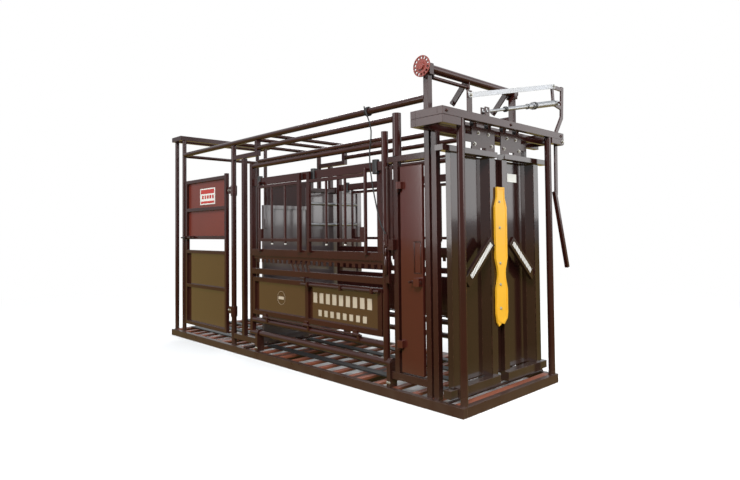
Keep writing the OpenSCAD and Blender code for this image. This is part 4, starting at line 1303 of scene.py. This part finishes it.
@dataclass
class Studio:
    """Plain floor, soft lights and the camera.

    Args:
        eye: the camera's place.
        yaw: its heading from +Y towards +X, in radians.
        pitch: its upward tilt, in radians.
        roll: its roll, in radians.
        lens: its focal length in mm.
        shift: its sideways and upward shift.
        target: what the lights look at.
        reach: how far the floor goes each way.
        fade: from where to where the floor fades into the backdrop.
        backdrop: how bright the sky and the far floor look to the camera.
        ground: the colour of the light that the floor throws back.
        glare: the floor's colour in glossy reflections, as on a sunlit yard.
        horizon: how bright the light dome is at its foot.
        zenith: how bright the light dome is overhead.
    """

    eye: Vector = field(default_factory=lambda: Vector((-4.0562, -5.0334, 1.3939)))
    yaw: float = 0.7657
    pitch: float = 0.029
    roll: float = -0.0101
    lens: float = 27.0
    shift: tuple[float, float] = (-0.0042, -0.0325)
    target: Vector = field(default_factory=lambda: Vector((0, -0.4, 1.1)))
    reach: float = 60.0
    fade: Span = (3.0, 9.0)
    backdrop: float = 1.0
    ground: Colour = (0.16, 0.15, 0.07)
    glare: Colour = (0.42, 0.32, 0.115)
    horizon: float = 0.5
    zenith: float = 1.1

    def build(self) -> None:
        """Makes the floor, the lights and the camera."""
        self._floor()
        self._world()
        self._light("key_light", Vector((-5.5, -5.5, 6.0)), 2.2, 640.0)
        self._light("front_light", Vector((1.5, -8.0, 3.2)), 3.0, 170.0)
        self._light("left_light", Vector((-8.0, 2.0, 3.0)), 4.0, 240.0)
        self._light("inner_light", Vector((3.5, 3.5, 5.5)), 3.0, 200.0)
        self._light("sky_panel", Vector((7.2, -7.6, 3.9)), 4.6, 150.0)
        self._camera()

    def _floor(self) -> None:
        """Adds the pale floor, which fades into the backdrop with distance."""
        data = bpy.data.meshes.new("studio_floor")
        r = self.reach
        data.from_pydata([(-r, -r, 0), (r, -r, 0), (r, r, 0), (-r, r, 0)], [], [(0, 1, 2, 3)])
        floor = bpy.data.objects.new("studio_floor", data)
        bpy.context.scene.collection.objects.link(floor)
        material = bpy.data.materials.new("StudioFloor")
        material.use_nodes = True
        shader = material.node_tree.nodes["Principled BSDF"]
        shader.inputs["Base Color"].default_value = (0.86, 0.86, 0.86, 1.0)
        shader.inputs["Roughness"].default_value = 0.9
        tree = material.node_tree
        coords, distance = tree.nodes.new("ShaderNodeTexCoord"), tree.nodes.new("ShaderNodeVectorMath")
        distance.operation = "LENGTH"
        fade, glow, blend = (tree.nodes.new(k) for k in (
            "ShaderNodeMapRange", "ShaderNodeEmission", "ShaderNodeMixShader"))
        fade.inputs["From Min"].default_value, fade.inputs["From Max"].default_value = self.fade
        fade.interpolation_type = "SMOOTHSTEP"
        glow.inputs["Color"].default_value = (1.0, 1.0, 1.0, 1.0)
        glow.inputs["Strength"].default_value = self.backdrop
        leave = tree.nodes["Material Output"]
        ground, yard, pick, both = (tree.nodes.new(k) for k in (
            "ShaderNodeBsdfDiffuse", "ShaderNodeEmission", "ShaderNodeMixShader", "ShaderNodeMixShader"))
        ground.inputs["Color"].default_value = (*self.ground, 1.0)
        yard.inputs["Color"].default_value = (*self.glare, 1.0)
        tree.links.new(coords.outputs["Object"], distance.inputs[0])
        tree.links.new(distance.outputs["Value"], fade.inputs["Value"])
        rays, seen = tree.nodes.new("ShaderNodeLightPath"), tree.nodes.new("ShaderNodeMath")
        seen.operation = "MULTIPLY"
        tree.links.new(rays.outputs["Is Camera Ray"], seen.inputs[0])
        tree.links.new(fade.outputs["Result"], seen.inputs[1])
        tree.links.new(seen.outputs["Value"], blend.inputs[0])
        tree.links.new(rays.outputs["Is Camera Ray"], both.inputs[0])
        tree.links.new(rays.outputs["Is Glossy Ray"], pick.inputs[0])
        tree.links.new(ground.outputs["BSDF"], pick.inputs[1])
        tree.links.new(yard.outputs["Emission"], pick.inputs[2])
        tree.links.new(pick.outputs["Shader"], both.inputs[1])
        tree.links.new(shader.outputs["BSDF"], both.inputs[2])
        tree.links.new(both.outputs["Shader"], blend.inputs[1])
        tree.links.new(glow.outputs["Emission"], blend.inputs[2])
        tree.links.new(blend.outputs["Shader"], leave.inputs["Surface"])
        data.materials.append(material)

    def _world(self) -> None:
        """Adds an even pale sky."""
        world = bpy.data.worlds.new("StudioWorld")
        bpy.context.scene.world = world
        world.use_nodes = True
        tree = world.node_tree
        sky, leave = tree.nodes["Background"], tree.nodes["World Output"]
        sky.inputs["Color"].default_value = (1.0, 1.0, 1.0, 1.0)
        sky.inputs["Strength"].default_value = self.backdrop
        dome, coords, split, ramp, rays, choose = (tree.nodes.new(k) for k in (
            "ShaderNodeBackground", "ShaderNodeTexCoord", "ShaderNodeSeparateXYZ", "ShaderNodeMapRange",
            "ShaderNodeLightPath", "ShaderNodeMixShader"))
        dome.inputs["Color"].default_value = (0.93, 0.97, 1.0, 1.0)
        ramp.inputs["From Min"].default_value, ramp.inputs["From Max"].default_value = -0.05, 0.75
        ramp.inputs["To Min"].default_value, ramp.inputs["To Max"].default_value = self.horizon, self.zenith
        tree.links.new(coords.outputs["Object"], split.inputs["Vector"])
        tree.links.new(split.outputs["Z"], ramp.inputs["Value"])
        tree.links.new(ramp.outputs["Result"], dome.inputs["Strength"])
        tree.links.new(rays.outputs["Is Camera Ray"], choose.inputs[0])
        tree.links.new(dome.outputs["Background"], choose.inputs[1])
        tree.links.new(sky.outputs["Background"], choose.inputs[2])
        tree.links.new(choose.outputs["Shader"], leave.inputs["Surface"])

    def _light(self, name: str, place: Vector, size: float, power: float) -> None:
        """Adds a soft area light that looks at the chute.

        Args:
            name: its name.
            place: where it stands.
            size: its side.
            power: its power in watts.
        """
        data = bpy.data.lights.new(name, "AREA")
        data.size, data.energy = size, power
        light = bpy.data.objects.new(name, data)
        bpy.context.scene.collection.objects.link(light)
        light.location = place
        light.rotation_euler = (self.target - place).to_track_quat("-Z", "Y").to_euler()

    def _camera(self) -> None:
        """Adds the camera."""
        data = bpy.data.cameras.new("camera")
        data.lens, data.sensor_width = self.lens, 36.0
        data.shift_x, data.shift_y = self.shift
        camera = bpy.data.objects.new("camera", data)
        bpy.context.scene.collection.objects.link(camera)
        heading, tilt = Matrix.Rotation(-self.yaw, 4, "Z"), Matrix.Rotation(math.pi / 2 + self.pitch, 4, "X")
        turn = heading @ tilt @ Matrix.Rotation(self.roll, 4, "Z")
        camera.matrix_world = Matrix.Translation(self.eye) @ turn
        bpy.context.scene.camera = camera


def main() -> None:
    """Builds the whole scene."""
    bpy.context.scene.view_settings.view_transform = "Standard"
    Studio().build()
    PullRope().build()
    finishes = [Palette.FRAME, Palette.SIDE, Palette.GATE, Palette.FLOOR, Palette.ZINC, Palette.TREAD, Palette.NYLON,
                Palette.BOARD, Palette.ROPE]
    PaintShop({f.slot: f for f in finishes}, Palette.special()).build()
    for side in Side:
        SqueezeFittings(side).build()
    for assembly in (HeadGateFittings(), SheetCoats(), NeckFittings(), DoorPlates(), FrameFasteners(),
                     TailgateTubes(), LinkFittings()):
        assembly.build()


if __name__ == "__main__":
    main()
